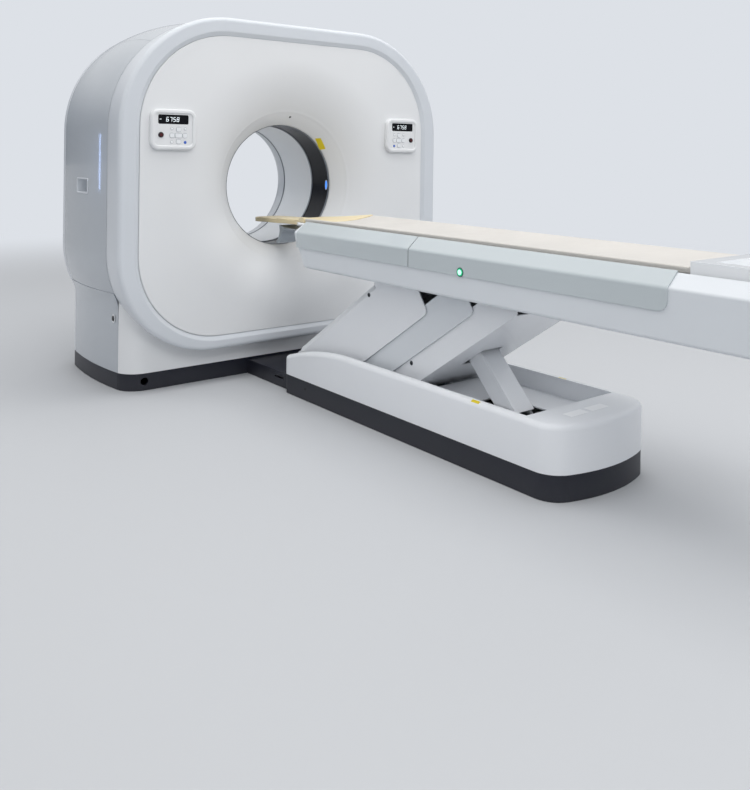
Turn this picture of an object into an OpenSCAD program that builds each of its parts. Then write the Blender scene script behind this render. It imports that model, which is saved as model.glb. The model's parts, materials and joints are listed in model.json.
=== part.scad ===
// CT scanner: a ring gantry on the floor and the patient table in front of it.
// Millimetres. +Z is up and +Y runs through the bore, away from the table.
// The origin is on the floor, at the centre of the gantry's anchor holes.

/* [Gantry] */
// Width over the front bezel
gantry_w = 2080; // [2000:10:2200]
// Height of the bezel's top edge
gantry_h = 1962; // [1900:2:2050]
// Height of the bezel's lower edge
bezel_z = 183; // [160:1:200]
// Radius of the bezel's upper corners
top_corner_r = 610; // [500:10:700]
// Radius of the bezel's lower corners
low_corner_r = 530; // [450:10:560]
// Height of the bore's axis
iso_h = 1048; // [1030:1:1070]
// Bore diameter
bore_d = 700; // [660:10:740]
// How far the bezel's face stands ahead of the cover seam
bezel_d = 195; // [170:5:220]
// How far the lower front cover stands ahead of the cover seam
low_front_d = 90; // [70:5:110]
// Depth of the side covers, from the front seam to the rear seam
side_d = 630; // [600:10:680]
// Depth of the rear cover
rear_d = 120; // [110:5:150]
// How far the lower body's widest part lies inside the bezel's side
low_inset = 56; // [40:2:80]
// Height of the dark skirt
skirt_h = 88; // [70:1:110]
// Wall of the moulded covers
cover_t = 6; // [5:0.5:8]
// Gap between neighbouring covers
seam = 0.8; // [0.5:0.1:0.9]
// Roundover at the bezel's front edge
bezel_r = 45; // [30:1:60]
// Height of the side cover's lower seam at the front
side_seam_z = 500; // [480:5:540]
// How much that seam rises towards the back
side_seam_rise = 115; // [60:5:140]
// Distance from the bezel's side to the top cover's edge
top_inset = 240; // [190:10:340]

/* [Front panel] */
// Width of the bezel's face at the sides
panel_side = 110; // [90:5:140]
// Height of the panel's lower edge
panel_low_z = 256; // [240:1:280]
// Width of the bezel's face at the top
panel_margin = 100; // [80:2:120]
// How far the panel lies behind the bezel's face
panel_recess = 12; // [8:1:18]
// Radius at which the funnel leaves the flat of the panel
funnel_r = 720; // [680:5:740]
// Radius at which the rear funnel meets the back
rear_funnel_r = 560; // [520:5:600]
// Width of the dark ring inside the bore
window_w = 190; // [160:5:220]
// Width of the bore's light liner
liner_w = 330; // [300:5:350]

/* [Control pods] */
// Distance of a pod's centre from the panel's side edge
pod_inset = 172; // [160:2:190]
// Height of a pod's centre
pod_z = 1350; // [1300:5:1380]
// Width of a pod
pod_w = 250; // [230:2:260]
// Height of a pod
pod_h = 210; // [200:2:220]
// How far a pod stands out of the panel
pod_d = 26; // [20:1:35]
// Corner radius of a pod
pod_r = 45; // [30:1:55]
// Depth of the recessed face of a pod
face_recess = 7; // [5:0.5:9]
// Travel of a key
key_travel = 1.5; // [1:0.1:2]
// Travel of the round stop button
stop_travel = 4; // [3:0.5:5]

/* [Rotor] */
// Outer diameter of the rotor's disc
rotor_d = 1560; // [1500:10:1600]
// Inner diameter of the rotor's hub
hub_d = 800; // [780:2:810]
// Outer diameter of the hub, which runs in the main bearing
hub_outer_d = 940; // [920:2:960]
// Thickness of the disc
disc_t = 30; // [24:1:40]
// Radius of the circle on which the tube and the boxes sit
mount_r = 640; // [625:5:650]
// Radius of the detector's inner face
detector_r = 560; // [550:5:580]
// Opening angle of the detector
detector_angle = 56; // [48:2:60]

/* [Table base] */
// Width of the table base
base_w = 572; // [550:2:600]
// Distance from the cover seam to the base's head end
base_gap = 530; // [510:5:560]
// Length of the table base
base_len = 1858; // [1820:2:1900]
// Height of the base's side walls
base_h = 279; // [270:1:290]
// Height of the dark skirt of the base
base_skirt_h = 98; // [90:1:105]
// Width of the rim around the trough
rim_w = 30; // [24:1:36]
// Length of the closed deck at the foot end
deck_len = 205; // [180:5:230]
// Height of the trough's floor
trough_z = 200; // [190:1:215]

/* [Lift] */
// Length of a lift arm between its pivots
arm_len = 989; // [960:1:1000]
// Angle of the arms above the floor, as shown
arm_angle = 33.5; // [31:0.5:35]
// Height of the lower pivots
pivot_z = 165; // [160:1:170]
// Distance from the base's head end to the front arm's pivot
pivot_inset = 82; // [80:1:90]
// Distance from the front arm's pivot to the middle cover's
mid_spacing = 453; // [440:1:460]
// Distance from the front arm's pivot to the rear arm's
rear_spacing = 616; // [605:1:630]
// Width over the front arm
arm_w = 452; // [440:1:456]
// Thickness of the arms' side plates
plate_t = 5; // [4:0.5:6]
// Diameter of the pivot shafts
shaft_d = 36; // [30:1:40]
// Running clearance around the shafts
shaft_gap = 0.3; // [0.25:0.05:0.4]
// Length of the strut between its pivots
strut_len = 385; // [380:1:390]
// Distance from the rear arm's pivot to the strut's, along the arm
strut_s = 500; // [490:1:510]
// Angle of the strut above the floor, as shown
strut_angle = 45.5; // [45:0.5:46]
// Diameter of the lift screw
screw_d = 28; // [24:1:32]

/* [Tabletop] */
// Half width of the carriage
carriage_half_w = 300; // [290:1:310]
// Height of the carriage's lower edge
carriage_z = 665; // [660:1:670]
// Height at which the carriage's sides turn into its shoulders
carriage_side_z = 830; // [826:1:834]
// Height of the shoulders' inner edge, beside the cradle
carriage_top = 882; // [878:1:886]
// Distance from the cover seam to the carriage's nose at its top
nose_gap = 590; // [570:5:620]
// Length of the carriage
carriage_len = 2560; // [2500:5:2620]
// Distance from the nose to the foot end of the side bands
band_reach = 2213; // [2180:1:2240]
// Length of the cradle
cradle_len = 2790; // [2740:5:2840]
// Half width of the cradle
cradle_half_w = 238; // [230:1:240]
// Thickness of the cradle's shell
cradle_t = 16; // [14:1:18]
// Distance from the cover seam to the cradle's head end
cradle_gap = 332; // [320:2:350]
// Thickness of the mattress
mattress_t = 28; // [22:1:30]
// Width of the head holder's tongue
holder_w = 180; // [160:2:200]
// Thickness of the head holder's tongue
tongue_t = 31; // [26:1:34]
// How far the head holder's tip reaches past the cover seam
holder_reach = 165; // [150:5:180]

/* [Hidden] */
$fn = 96;

// Colours, as seen
white = [0.90, 0.92, 0.94];
cool = [0.82, 0.85, 0.89];
grey = [0.66, 0.69, 0.73];
dark = [0.17, 0.18, 0.20];
glass = [0.08, 0.09, 0.14];
metal = [0.62, 0.64, 0.67];
iron = [0.42, 0.44, 0.47];
copper = [0.72, 0.45, 0.30];
cream = [0.93, 0.90, 0.87];
tan_foam = [0.92, 0.85, 0.71];
key_white = [0.95, 0.95, 0.95];

// Places along Y
gap = 0.3;
seam_y = -280;
front_y = seam_y - bezel_d;
low_front_y = seam_y - low_front_d;
panel_y = front_y + panel_recess;
low_half_w = gantry_w / 2 - low_inset;
top_half_w = gantry_w / 2 - top_inset;
panel_half_w = gantry_w / 2 - panel_side;
panel_top_z = gantry_h - panel_margin;
pod_x = panel_half_w - pod_inset;
wide = gantry_w / 2 + 60;
rear_seam_y = seam_y + side_d;
back_y = rear_seam_y + rear_d;
side_mid_y = 50;

// Bore
bore_r = bore_d / 2;
mouth_edge = 20;
mouth_r = min(funnel_r, panel_half_w - mouth_edge, panel_top_z - iso_h - mouth_edge);
funnel_w = mouth_r - bore_r;
funnel_depth = seam_y - panel_y;
funnel_arc = (pow(funnel_w, 2) + pow(funnel_depth, 2)) / (2 * funnel_depth);
window_y = seam_y + gap;
liner_y = window_y + window_w + gap;
liner_end_y = liner_y + liner_w;
rear_depth = back_y - liner_end_y - gap;
rear_w = rear_funnel_r - bore_r;
rear_arc = (pow(rear_w, 2) + pow(rear_depth, 2)) / (2 * rear_depth);

// Anchor holes of the gantry
anchor_x = 1500;
anchor_y = 500;
anchor_r = 9;
plate_h = 12;

function arc(c, r, a0, a1, n) = [for (i = [0:n]) let(a = a0 + (a1 - a0) * i / n)
    [c[0] + r * cos(a), c[1] + r * sin(a)]];

function reversed(pts) = [for (i = [len(pts) - 1:-1:0]) pts[i]];

// Outlines of the gantry

module round_rect(half_w, z0, z1, r_top, r_low) {
    hull_w = half_w - r_top;
    low_w = half_w - r_low;
    union() {
        for (s = [-1, 1]) {
            translate([s * hull_w, z1 - r_top]) circle(r_top);
            translate([s * low_w, z0 + r_low]) circle(r_low);
        }
        translate([-hull_w, z1 - r_top]) square([2 * hull_w, r_top]);
        translate([-low_w, z0]) square([2 * low_w, r_low]);
        translate([-half_w, z0 + r_low]) square([2 * half_w, z1 - r_top - z0 - r_low]);
    }
}

// The same as one polygon
module round_poly(half_w, z0, z1, r_top, r_low) {
    right = concat(arc([half_w - r_low, z0 + r_low], r_low, -90, 0, 16),
        arc([half_w - r_top, z1 - r_top], r_top, 0, 90, 16));
    polygon(concat(right, [for (p = reversed(right)) [-p[0], p[1]]]));
}

// Sweeps a profile of [offset from the outline, depth] around the gantry's outline
module sweep_outline() {
    half_w = gantry_w / 2;
    top_w = half_w - top_corner_r;
    low_w = half_w - low_corner_r;
    top_z = gantry_h - top_corner_r;
    low_z = bezel_z + low_corner_r;
    for (s = [0, 1]) mirror([s, 0, 0]) {
        translate([top_w, 0, top_z]) rotate([90, 0, 0]) mirror([0, 0, 1])
            rotate_extrude(angle = 90) translate([top_corner_r, 0]) children();
        translate([low_w, 0, low_z]) rotate([90, 0, 0]) mirror([0, 0, 1])
            rotate([0, 0, -90]) rotate_extrude(angle = 90) translate([low_corner_r, 0]) children();
        translate([half_w, 0, low_z]) linear_extrude(top_z - low_z) children();
    }
    translate([-top_w, 0, gantry_h]) rotate([90, 0, 90]) linear_extrude(2 * top_w)
        rotate(90) mirror([0, 1]) children();
    translate([-low_w, 0, bezel_z]) rotate([90, 0, 90]) linear_extrude(2 * low_w)
        rotate(-90) children();
}

// The side covers' slight crown, as points of [offset, depth] from the front seam back
side_r = 2400;
crown = 10;
function side_curve(inset, y0, y1, n) = [for (i = [0:n]) let(y = y0 + (y1 - y0) * i / n)
    [crown - side_r + sqrt(pow(side_r - inset, 2) - pow(y - side_mid_y, 2)), y]];

module side_profile(y0, y1) {
    polygon(concat(side_curve(0, y0, y1, 6), [for (i = [6:-1:0]) side_curve(cover_t, y0, y1, 6)[i]]));
}

// Plan of the lower body: crowned sides, rounded corners, flat front and back
low_side_r = 2200;
low_corner = 120;
function low_corner_c(y_face, dir) = let(yc = y_face - dir * low_corner)
    [low_half_w - low_side_r + sqrt(pow(low_side_r - low_corner, 2) - pow(yc - side_mid_y, 2)), yc];
function low_side_a(c) = atan2(c[1] - side_mid_y, c[0] - low_half_w + low_side_r);
function low_half_plan(inset) = let(
    f = low_corner_c(low_front_y, -1), b = low_corner_c(back_y, 1),
    af = low_side_a(f), ab = low_side_a(b))
    concat(arc(f, low_corner - inset, -90, af, 6),
        arc([low_half_w - low_side_r, side_mid_y], low_side_r - inset, af, ab, 6),
        arc(b, low_corner - inset, ab, 90, 6));

module low_plan(inset) {
    pts = low_half_plan(inset);
    polygon(concat(pts, [for (i = [len(pts) - 1:-1:0]) [-pts[i][0], pts[i][1]]]));
}

module low_wall(z0, z1) {
    translate([0, 0, z0]) linear_extrude(z1 - z0) difference() {
        low_plan(0);
        low_plan(cover_t);
    }
}

// Half space below the slanted seam of the side covers
module below_seam(drop) {
    rise = side_seam_rise / side_d;
    rotate([90, 0, 90]) linear_extrude(2 * gantry_w, center = true)
        polygon([[seam_y - 200, 0], [back_y + 200, 0],
            [back_y + 200, side_seam_z + rise * (back_y + 200 - seam_y) - drop],
            [seam_y - 200, side_seam_z - rise * 200 - drop]]);
}

module across_x(x0, x1, y0, y1, z0, z1) {
    translate([x0, y0, z0]) cube([x1 - x0, y1 - y0, z1 - z0]);
}

module ring(r0, r1, y0, y1) {
    translate([0, y0, iso_h]) rotate([-90, 0, 0]) difference() {
        cylinder(r = r1, h = y1 - y0);
        translate([0, 0, -1]) cylinder(r = r0, h = y1 - y0 + 2);
    }
}

module y_cylinder(r, x, z, y0, y1) {
    translate([x, y0, z]) rotate([-90, 0, 0]) cylinder(r = r, h = y1 - y0);
}

module x_cylinder(r, x0, x1, y, z) {
    translate([x0, y, z]) rotate([0, 90, 0]) cylinder(r = r, h = x1 - x0);
}

// Gantry: frame and rotor

stator_y = 230;
stator_t = 60;
bearing_r = hub_outer_d / 2;
race_t = 50;
leg_x = 620;
leg_w = 160;
beam_w = 120;
beam_h = 110;

module gantry_base_frame() {
    color(iron) difference() {
        union() {
            linear_extrude(plate_h) low_plan(16);
            for (s = [-1, 1]) across_x(s * leg_x - beam_w / 2, s * leg_x + beam_w / 2, -330, 420, plate_h,
                plate_h + beam_h);
        }
        for (x = [-1, 1], y = [-1, 1])
            translate([x * anchor_x / 2, y * anchor_y / 2, -1]) cylinder(r = anchor_r, h = plate_h + 2);
    }
}

module stator_frame() {
    plate_r = bearing_r + 170;
    z0 = plate_h + beam_h;
    color(iron) difference() {
        union() {
            y_cylinder(plate_r, 0, iso_h, stator_y, stator_y + stator_t);
            for (s = [-1, 1]) {
                across_x(s * leg_x - leg_w / 2, s * leg_x + leg_w / 2, stator_y, stator_y + stator_t, z0,
                    iso_h);
                across_x(s * leg_x - leg_w / 2, s * leg_x + leg_w / 2, stator_y - 120, stator_y + 120, z0,
                    z0 + 16);
            }
            across_x(-leg_x, leg_x, stator_y, stator_y + stator_t, z0 + 60, z0 + 200);
        }
        y_cylinder(bearing_r + race_t + 0.2, 0, iso_h, stator_y - 1, stator_y + stator_t + 1);
        for (a = [15:30:345])
            translate([(plate_r - 60) * cos(a), 0, iso_h + (plate_r - 60) * sin(a)])
                y_cylinder(26, 0, 0, stator_y - 1, stator_y + stator_t + 1);
    }
}

module main_bearing() {
    color(metal) {
        ring(bearing_r + gap, bearing_r + race_t, stator_y, stator_y + stator_t + 14);
        ring(bearing_r + race_t - 20, bearing_r + race_t + 26, stator_y + stator_t + 0.2,
            stator_y + stator_t + 14);
    }
}

coil_r = bearing_r + 70;
module drive_stator() {
    color(copper) difference() {
        ring(coil_r, coil_r + 60, stator_y - 70, stator_y - 0.3);
        for (a = [0:15:345])
            translate([(coil_r + 30) * cos(a), 0, iso_h + (coil_r + 30) * sin(a)])
                y_cylinder(10, 0, 0, stator_y - 71, stator_y);
    }
}

disc_y = 30;
hub_r = hub_d / 2;
rotor_clear = 24;
rotor_r = min(rotor_d / 2, gantry_h - iso_h - cover_t - rotor_clear);
tube_reach = 130;
unit_r = min(mount_r, rotor_r - tube_reach);
module rotor_drum() {
    color(metal) difference() {
        union() {
            ring(hub_r, rotor_r, disc_y, disc_y + disc_t);
            ring(hub_r, bearing_r, disc_y, stator_y + stator_t + 24);
            ring(coil_r - 24, coil_r - 0.6, disc_y + disc_t - 1, stator_y - 12);
            ring(rotor_r - 14, rotor_r, disc_y + disc_t - 1, disc_y + disc_t + 50);
        }
        for (a = [22.5:45:337.5])
            translate([unit_r * cos(a), 0, iso_h + unit_r * sin(a)])
                y_cylinder(58, 0, 0, disc_y - 1, disc_y + disc_t + 1);
    }
}

module slip_ring() {
    y0 = stator_y + stator_t + 24 + 0.2;
    color(copper) {
        ring(hub_r + 6, bearing_r - 4, y0, y0 + 16);
        for (i = [0:3]) ring(hub_r + 10 + 14 * i, hub_r + 18 + 14 * i, y0 + 16, y0 + 20);
    }
}

// A box on the front of the rotor's disc, at an angle and a radius
module on_disc(a, r) {
    translate([0, disc_y - 0.2, iso_h]) rotate([0, -a, 0]) translate([r, 0, 0]) children();
}

tube_r = 92;
module xray_tube() {
    color(metal) on_disc(90, unit_r) {
        rotate([90, 0, 0]) cylinder(r = tube_r, h = 250);
        rotate([90, 0, 0]) translate([0, 0, 250]) cylinder(r = tube_r - 30, h = 26);
        translate([tube_r - 26, -160, -60]) cube([60, 120, 120]);
        translate([-40, -30, -tube_r - 40]) cube([80, 30, 2 * tube_r + 80]);
    }
}

module collimator() {
    color(iron) on_disc(90, unit_r - tube_r) difference() {
        translate([-92, -150, -80]) cube([90, 150, 160]);
        translate([-100, -96, -50]) cube([110, 40, 100]);
    }
}

unit_w = 410;
unit_h = 200;
unit_d = 190;
module rotor_box(a, w, d, t) {
    on_disc(a, unit_r) {
        translate([-d / 2, -t, -w / 2]) cube([d, t, w]);
        for (i = [-3:3]) translate([-d / 2 + 8, -t - 12, i * w / 8 - 4]) cube([d - 16, 13, 8]);
    }
}

module hv_generator() {
    color(grey) rotor_box(180, unit_w, unit_h, unit_d);
}

module cooling_unit() {
    color(iron) rotor_box(0, unit_w, unit_h, unit_d);
}

module detector_array() {
    depth = 70;
    color(iron) {
        difference() {
            ring(detector_r, detector_r + depth, disc_y - 130, disc_y - 0.2);
            for (s = [-1, 1]) translate([0, disc_y - 200, iso_h])
                rotate([0, s * (90 - detector_angle / 2), 0])
                translate([-1000, 0, 0]) cube([2000, 400, 2000]);
            across_x(-1000, 1000, disc_y - 200, disc_y + 200, iso_h, iso_h + 1000);
        }
        for (i = [-5:5]) translate([0, 0, iso_h]) rotate([0, i * detector_angle / 12, 0])
            translate([-16, disc_y - 120, -detector_r - depth - 30]) cube([32, 110, 31]);
        // Balance weight
        across_x(-150, 150, disc_y - 140, disc_y - 0.2, iso_h - 730, iso_h - 660);
    }
}

// Gantry: skirts and covers

module skirt(y0, y1) {
    difference() {
        intersection() {
            linear_extrude(skirt_h) difference() {
                low_plan(2);
                low_plan(15.5);
            }
            across_x(-wide, wide, y0, y1, 0, skirt_h);
        }
        children();
    }
}

vent_r = 20;
vent_x = low_half_w - 134;
module gantry_skirt_front() {
    color(dark) skirt(low_front_y, seam_y - seam / 2)
        for (s = [-1, 1]) y_cylinder(vent_r, s * vent_x, 47, low_front_y - 10, low_front_y + 30);
}

module gantry_skirt_rear() {
    color(dark) skirt(seam_y + seam / 2, back_y);
}

// Opening in the lower front cover, behind the bezel
module behind_bezel(inset) {
    translate([0, seam_y + 20, 0]) rotate([90, 0, 0]) linear_extrude(400)
        round_poly(gantry_w / 2 - inset, bezel_z + inset, gantry_h - inset, top_corner_r - inset,
            low_corner_r - inset);
}

module lower_front_cover() {
    color(cool) difference() {
        union() {
            low_wall(skirt_h + seam, side_seam_z + 120);
            intersection() {
                translate([0, 0, skirt_h + seam]) linear_extrude(14) difference() {
                    low_plan(1);
                    low_plan(40);
                }
                across_x(-wide, wide, low_front_y, seam_y, 0, gantry_h);
            }
        }
        across_x(-wide, wide, seam_y - seam / 2, back_y + 10, 0, gantry_h);
        behind_bezel(70);
        for (s = [-1, 1]) mirror([s > 0 ? 0 : 1, 0, 0])
            difference() {
                across_x(600, wide, low_front_y - 10, seam_y, side_seam_z - 160, gantry_h);
                translate([0, seam_y + 1, 0]) rotate([90, 0, 0]) linear_extrude(300)
                    round_poly(gantry_w / 2 - 22, bezel_z, gantry_h, top_corner_r - 22, low_corner_r);
            }
    }
}

// Bezel: side from the seam forward, roundover, face and inner return
module front_bezel() {
    side_in = crown - side_r + sqrt(pow(side_r, 2) - pow(seam_y - side_mid_y, 2));
    c = [-bezel_r, front_y + bezel_r];
    outer = concat([[side_in, seam_y - seam / 2]], arc(c, bezel_r, 0, -90, 8), [[-150, front_y]]);
    inner = concat([[-150, front_y + cover_t]], arc(c, bezel_r - cover_t, -90, 0, 8),
        [[side_in - cover_t, seam_y - seam / 2]]);
    color(cool) difference() {
        sweep_outline() polygon(concat(outer, inner));
        translate([0, front_y + 50, 0]) rotate([90, 0, 0]) linear_extrude(100)
            panel_outline(0);
        // The lower body passes behind the bezel
        difference() {
            translate([0, 0, -10]) linear_extrude(side_seam_z + 130) low_plan(-seam / 2);
            across_x(-wide, wide, front_y - 10, low_front_y - seam / 2, -20, gantry_h);
        }
    }
}

module panel_outline(inset) {
    round_rect(panel_half_w - inset, panel_low_z + inset, panel_top_z - inset, 500 - inset, 450 - inset);
}

bead_a = 129;
bead_h = 1.8;
funnel_end_a = 90 + asin(funnel_w / funnel_arc);
// Arc of the funnel with a shallow bead around its mouth, then its back
function funnel_profile() = let(c = [mouth_r, funnel_depth - funnel_arc], a0 = 90, a1 = funnel_end_a)
    concat(arc(c, funnel_arc, a0, bead_a - 0.8, 8),
        [c + (funnel_arc + bead_h) * [cos(bead_a), sin(bead_a)]],
        arc(c, funnel_arc, bead_a + 0.8, a1, 5), [[bore_r + cover_t, -gap / 2]],
        arc(c, funnel_arc - cover_t, a1 - 2, a0, 12));
// Trumpet from the flat of the panel down to the bore's front edge
module front_panel() {
    lip = 14;
    color(white) difference() {
        union() {
            translate([0, panel_y + cover_t, 0]) rotate([90, 0, 0]) linear_extrude(cover_t) difference() {
                panel_outline(seam);
                translate([0, iso_h]) circle(mouth_r - 1);
            }
            // Flange that stands behind the bezel's inner edge
            translate([0, front_y + cover_t + gap + 12, 0]) rotate([90, 0, 0]) linear_extrude(12)
                difference() {
                panel_outline(-lip);
                panel_outline(cover_t);
            }
            translate([0, seam_y, iso_h]) rotate([90, 0, 0]) rotate_extrude() polygon(funnel_profile());
        }
    }
}

module side_band(y0, y1) {
    sweep_outline() side_profile(y0, y1);
}

module upper_side_cover() {
    color(cool) difference() {
        intersection() {
            side_band(seam_y + seam / 2, rear_seam_y - seam / 2);
            across_x(-wide, -top_half_w - seam / 2, seam_y - 10, back_y, side_seam_z - 40, gantry_h + 20);
        }
        below_seam(-seam / 2);
        // Square grip recess with its frame
        grip_box(grip_x - 150, grip_x + 150, 3);
    }
    color(cool) difference() {
        grip_box(grip_x, grip_x + grip_d, 0);
        grip_box(grip_x - 50, grip_x + grip_d - 7, 9);
    }
}
grip_x = -gantry_w / 2 - 12;
grip_d = 67;
grip_y = 130;
grip_z = 1110;
grip_w = 96;
module grip_box(x0, x1, inset) {
    half = grip_w / 2 - inset;
    across_x(x0, x1, grip_y - half, grip_y + half, grip_z - half, grip_z + half);
}

module lower_side_cover() {
    color(cool) difference() {
        intersection() {
            union() {
                difference() {
                    low_wall(skirt_h + seam, side_seam_z + side_seam_rise + 60);
                    sweep_outline() polygon(concat([[-300, seam_y - 5]],
                        side_curve(cover_t, seam_y - 5, rear_seam_y + 5, 6), [[-300, rear_seam_y + 5]]));
                }
                difference() {
                    side_band(seam_y + seam / 2, rear_seam_y - seam / 2);
                    linear_extrude(gantry_h) low_plan(cover_t);
                }
            }
            below_seam(seam / 2);
            across_x(-wide, -600, seam_y + seam / 2, rear_seam_y - seam / 2, skirt_h, gantry_h);
        }
        x_cylinder(lock_r + gap, -lock_x - 60, -lock_x + 60, lock_y, lock_z);
    }
    // Foot flange on the base frame
    color(cool) across_x(10 - low_half_w, 84 - low_half_w, side_mid_y - 140, side_mid_y + 170,
        skirt_h + seam, skirt_h + seam + 4);
}

module side_cover_left() { upper_side_cover(); }
module side_cover_right() { mirror([1, 0, 0]) upper_side_cover(); }
module lower_side_cover_left() { lower_side_cover(); }
module lower_side_cover_right() { mirror([1, 0, 0]) lower_side_cover(); }

module top_cover() {
    color(cool) intersection() {
        side_band(seam_y + seam / 2, rear_seam_y - seam / 2);
        across_x(-top_half_w + seam / 2, top_half_w - seam / 2, seam_y - 10, back_y, iso_h + 400,
            gantry_h + 20);
    }
}

rear_r = 105;
module rear_cover() {
    side_out = side_curve(0, rear_seam_y, rear_seam_y, 1)[0][0];
    c = [side_out - rear_r, back_y - rear_r];
    band = concat([[side_out, rear_seam_y + seam / 2]], arc(c, rear_r, 0, 90, 8),
        [[-300, back_y], [-300, back_y - cover_t]],
        arc(c, rear_r - cover_t, 90, 0, 8), [[side_out - cover_t, rear_seam_y + seam / 2]]);
    solid = concat([[side_out - cover_t, rear_seam_y - 5]], arc(c, rear_r - cover_t, 0, 90, 8),
        [[-300, back_y - cover_t], [-300, rear_seam_y - 5]]);
    color(cool) difference() {
        union() {
            difference() {
                sweep_outline() polygon(band);
                translate([0, 0, -10]) linear_extrude(700) low_plan(cover_t);
            }
            difference() {
                intersection() {
                    low_wall(skirt_h + seam, 620);
                    across_x(-wide, wide, rear_seam_y + seam / 2, back_y + 10, 0, gantry_h);
                }
                sweep_outline() polygon(solid);
            }
            translate([0, back_y, 0]) rotate([90, 0, 0]) linear_extrude(cover_t)
                round_rect(gantry_w / 2 - 250, bezel_z + 250, gantry_h - 250, top_corner_r - 250,
                    low_corner_r - 250);
            translate([0, back_y - cover_t, 0]) rotate([90, 0, 0]) translate([0, 0, -cover_t])
                linear_extrude(cover_t)
                translate([-700, skirt_h + 40]) square([1400, 500]);
        }
        ring(0, rear_funnel_r - 0.01, back_y - 40, back_y + 10);
    }
    // Rear funnel
    color(cool) translate([0, back_y, iso_h]) rotate([-90, 0, 0]) rotate_extrude() intersection() {
        translate([rear_funnel_r, -rear_arc]) difference() {
            circle(rear_arc);
            circle(rear_arc - cover_t);
        }
        translate([bore_r + 1.2, -rear_depth]) square([rear_w - 1.2, rear_depth + 1]);
    }
}

module bore_window() {
    color(glass) ring(bore_r, bore_r + 8, window_y, window_y + window_w);
}

module bore_liner() {
    color(cool) ring(bore_r, bore_r + 7, liner_y, liner_end_y);
}

trim_w = 9;
module bore_trims() {
    color(metal) {
        ring(bore_r - 3, bore_r - 0.2, window_y, window_y + trim_w);
        ring(bore_r - 3, bore_r - 0.2, liner_y - trim_w, liner_y + 3);
        ring(bore_r - 3, bore_r - 0.2, liner_end_y - trim_w, liner_end_y - 0.2);
    }
}

lock_r = 14;
lock_y = seam_y + 45;
lock_z = 365;
lock_x = low_half_w - pow(lock_y - side_mid_y, 2) / (2 * low_side_r);
module cover_lock() {
    color(dark) difference() {
        union() {
            x_cylinder(lock_r, -lock_x - 5, -lock_x + 20, lock_y, lock_z);
            across_x(-lock_x + 20, -lock_x + 26, lock_y - 8, lock_y + 8, lock_z - 30, lock_z + 10);
        }
        across_x(-lock_x - 6, -lock_x - 1, lock_y - 1.5, lock_y + 1.5, lock_z - 7, lock_z + 7);
    }
}
module cover_lock_left() { cover_lock(); }
module cover_lock_right() { mirror([1, 0, 0]) cover_lock(); }

// Control pods

module soft_square(w, h, r) {
    translate([-w / 2 + r, -h / 2]) square([w - 2 * r, h]);
    translate([-w / 2, -h / 2 + r]) square([w, h - 2 * r]);
    for (x = [-1, 1], y = [-1, 1]) translate([x * (w / 2 - r), y * (h / 2 - r)]) circle(r);
}

// Places a drawing on a pod's face; the drawing's origin is the pod's centre
module on_pod(y) {
    translate([-pod_x, y, pod_z]) rotate([90, 0, 0]) children();
}

pod_y = panel_y - 0.2;
pod_face_y = pod_y - pod_d + face_recess;
display_w = 165;
display_h = 48;
display_z = 52;
display_x = -2;
stop_r = 14;
stop_x = -70;
stop_z = -28;
cross_x = 26;
cross_z = -30;
cross_pitch = 31;
key_h = 22;
key_w = 24;
key_gap = 0.5;
key_rise = 3;
dot_r = 7;
dot_x = 41;
dot_z = 32;
back_t = 4;

module key_plan(x, z, w, grow) {
    translate([cross_x + x, cross_z + z]) soft_square(w + 2 * grow, key_h + 2 * grow, 7 + grow);
}

centre_w = 38;
side_key_x = (centre_w + key_w) / 2 + 4;
function key_place(k) = k == 0 ? [0, cross_pitch, key_w] : k == 1 ? [0, -cross_pitch, key_w] :
    k == 2 ? [-side_key_x, 0, key_w] : k == 3 ? [side_key_x, 0, key_w] : [0, 0, centre_w];

module pod() {
    edge_r = 9;
    color(white) difference() {
        union() {
            on_pod(pod_y) linear_extrude(pod_d - edge_r) soft_square(pod_w, pod_h, pod_r);
            // Stepped soft edge towards the viewer
            on_pod(pod_y - pod_d + edge_r) linear_extrude(edge_r / 2)
                soft_square(pod_w - 3, pod_h - 3, pod_r - 1.5);
            on_pod(pod_y - pod_d + edge_r / 2) linear_extrude(edge_r / 2)
                soft_square(pod_w - 10, pod_h - 10, pod_r - 5);
        }
        on_pod(pod_face_y) linear_extrude(face_recess + 5) soft_square(pod_w - 46, pod_h - 46, 20);
        on_pod(pod_face_y + 6) linear_extrude(20) translate([display_x, display_z])
            soft_square(display_w + 0.6, display_h + 0.6, 8);
        on_pod(pod_y - back_t) linear_extrude(pod_d) {
            translate([stop_x, stop_z]) circle(stop_r + key_gap);
            for (k = [0:4]) key_plan(key_place(k)[0], key_place(k)[1], key_place(k)[2], key_gap);
        }
    }
    color(white) for (x = [-1, 1], z = [-1, 1])
        on_pod(pod_face_y + 0.01) translate([cross_x + x * dot_x, cross_z + z * dot_z, 0])
            cylinder(r = dot_r, h = 1.2);
}

module pod_display() {
    color(glass) on_pod(pod_face_y + 6 - gap) linear_extrude(5) translate([display_x, display_z])
        soft_square(display_w, display_h, 8);
}

module stop_button() {
    y0 = pod_y - back_t - stop_travel - gap;
    color(dark) on_pod(y0) translate([stop_x, stop_z, 0]) {
        cylinder(r = stop_r, h = y0 - pod_face_y + 4.5);
        translate([0, 0, y0 - pod_face_y + 4.5]) cylinder(r1 = stop_r, r2 = stop_r - 2.5, h = 2);
    }
}

module key(k) {
    y0 = pod_y - back_t - key_travel - gap;
    color(key_white) on_pod(y0) linear_extrude(y0 - pod_face_y + key_rise)
        key_plan(key_place(k)[0], key_place(k)[1], key_place(k)[2], 0);
}

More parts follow.
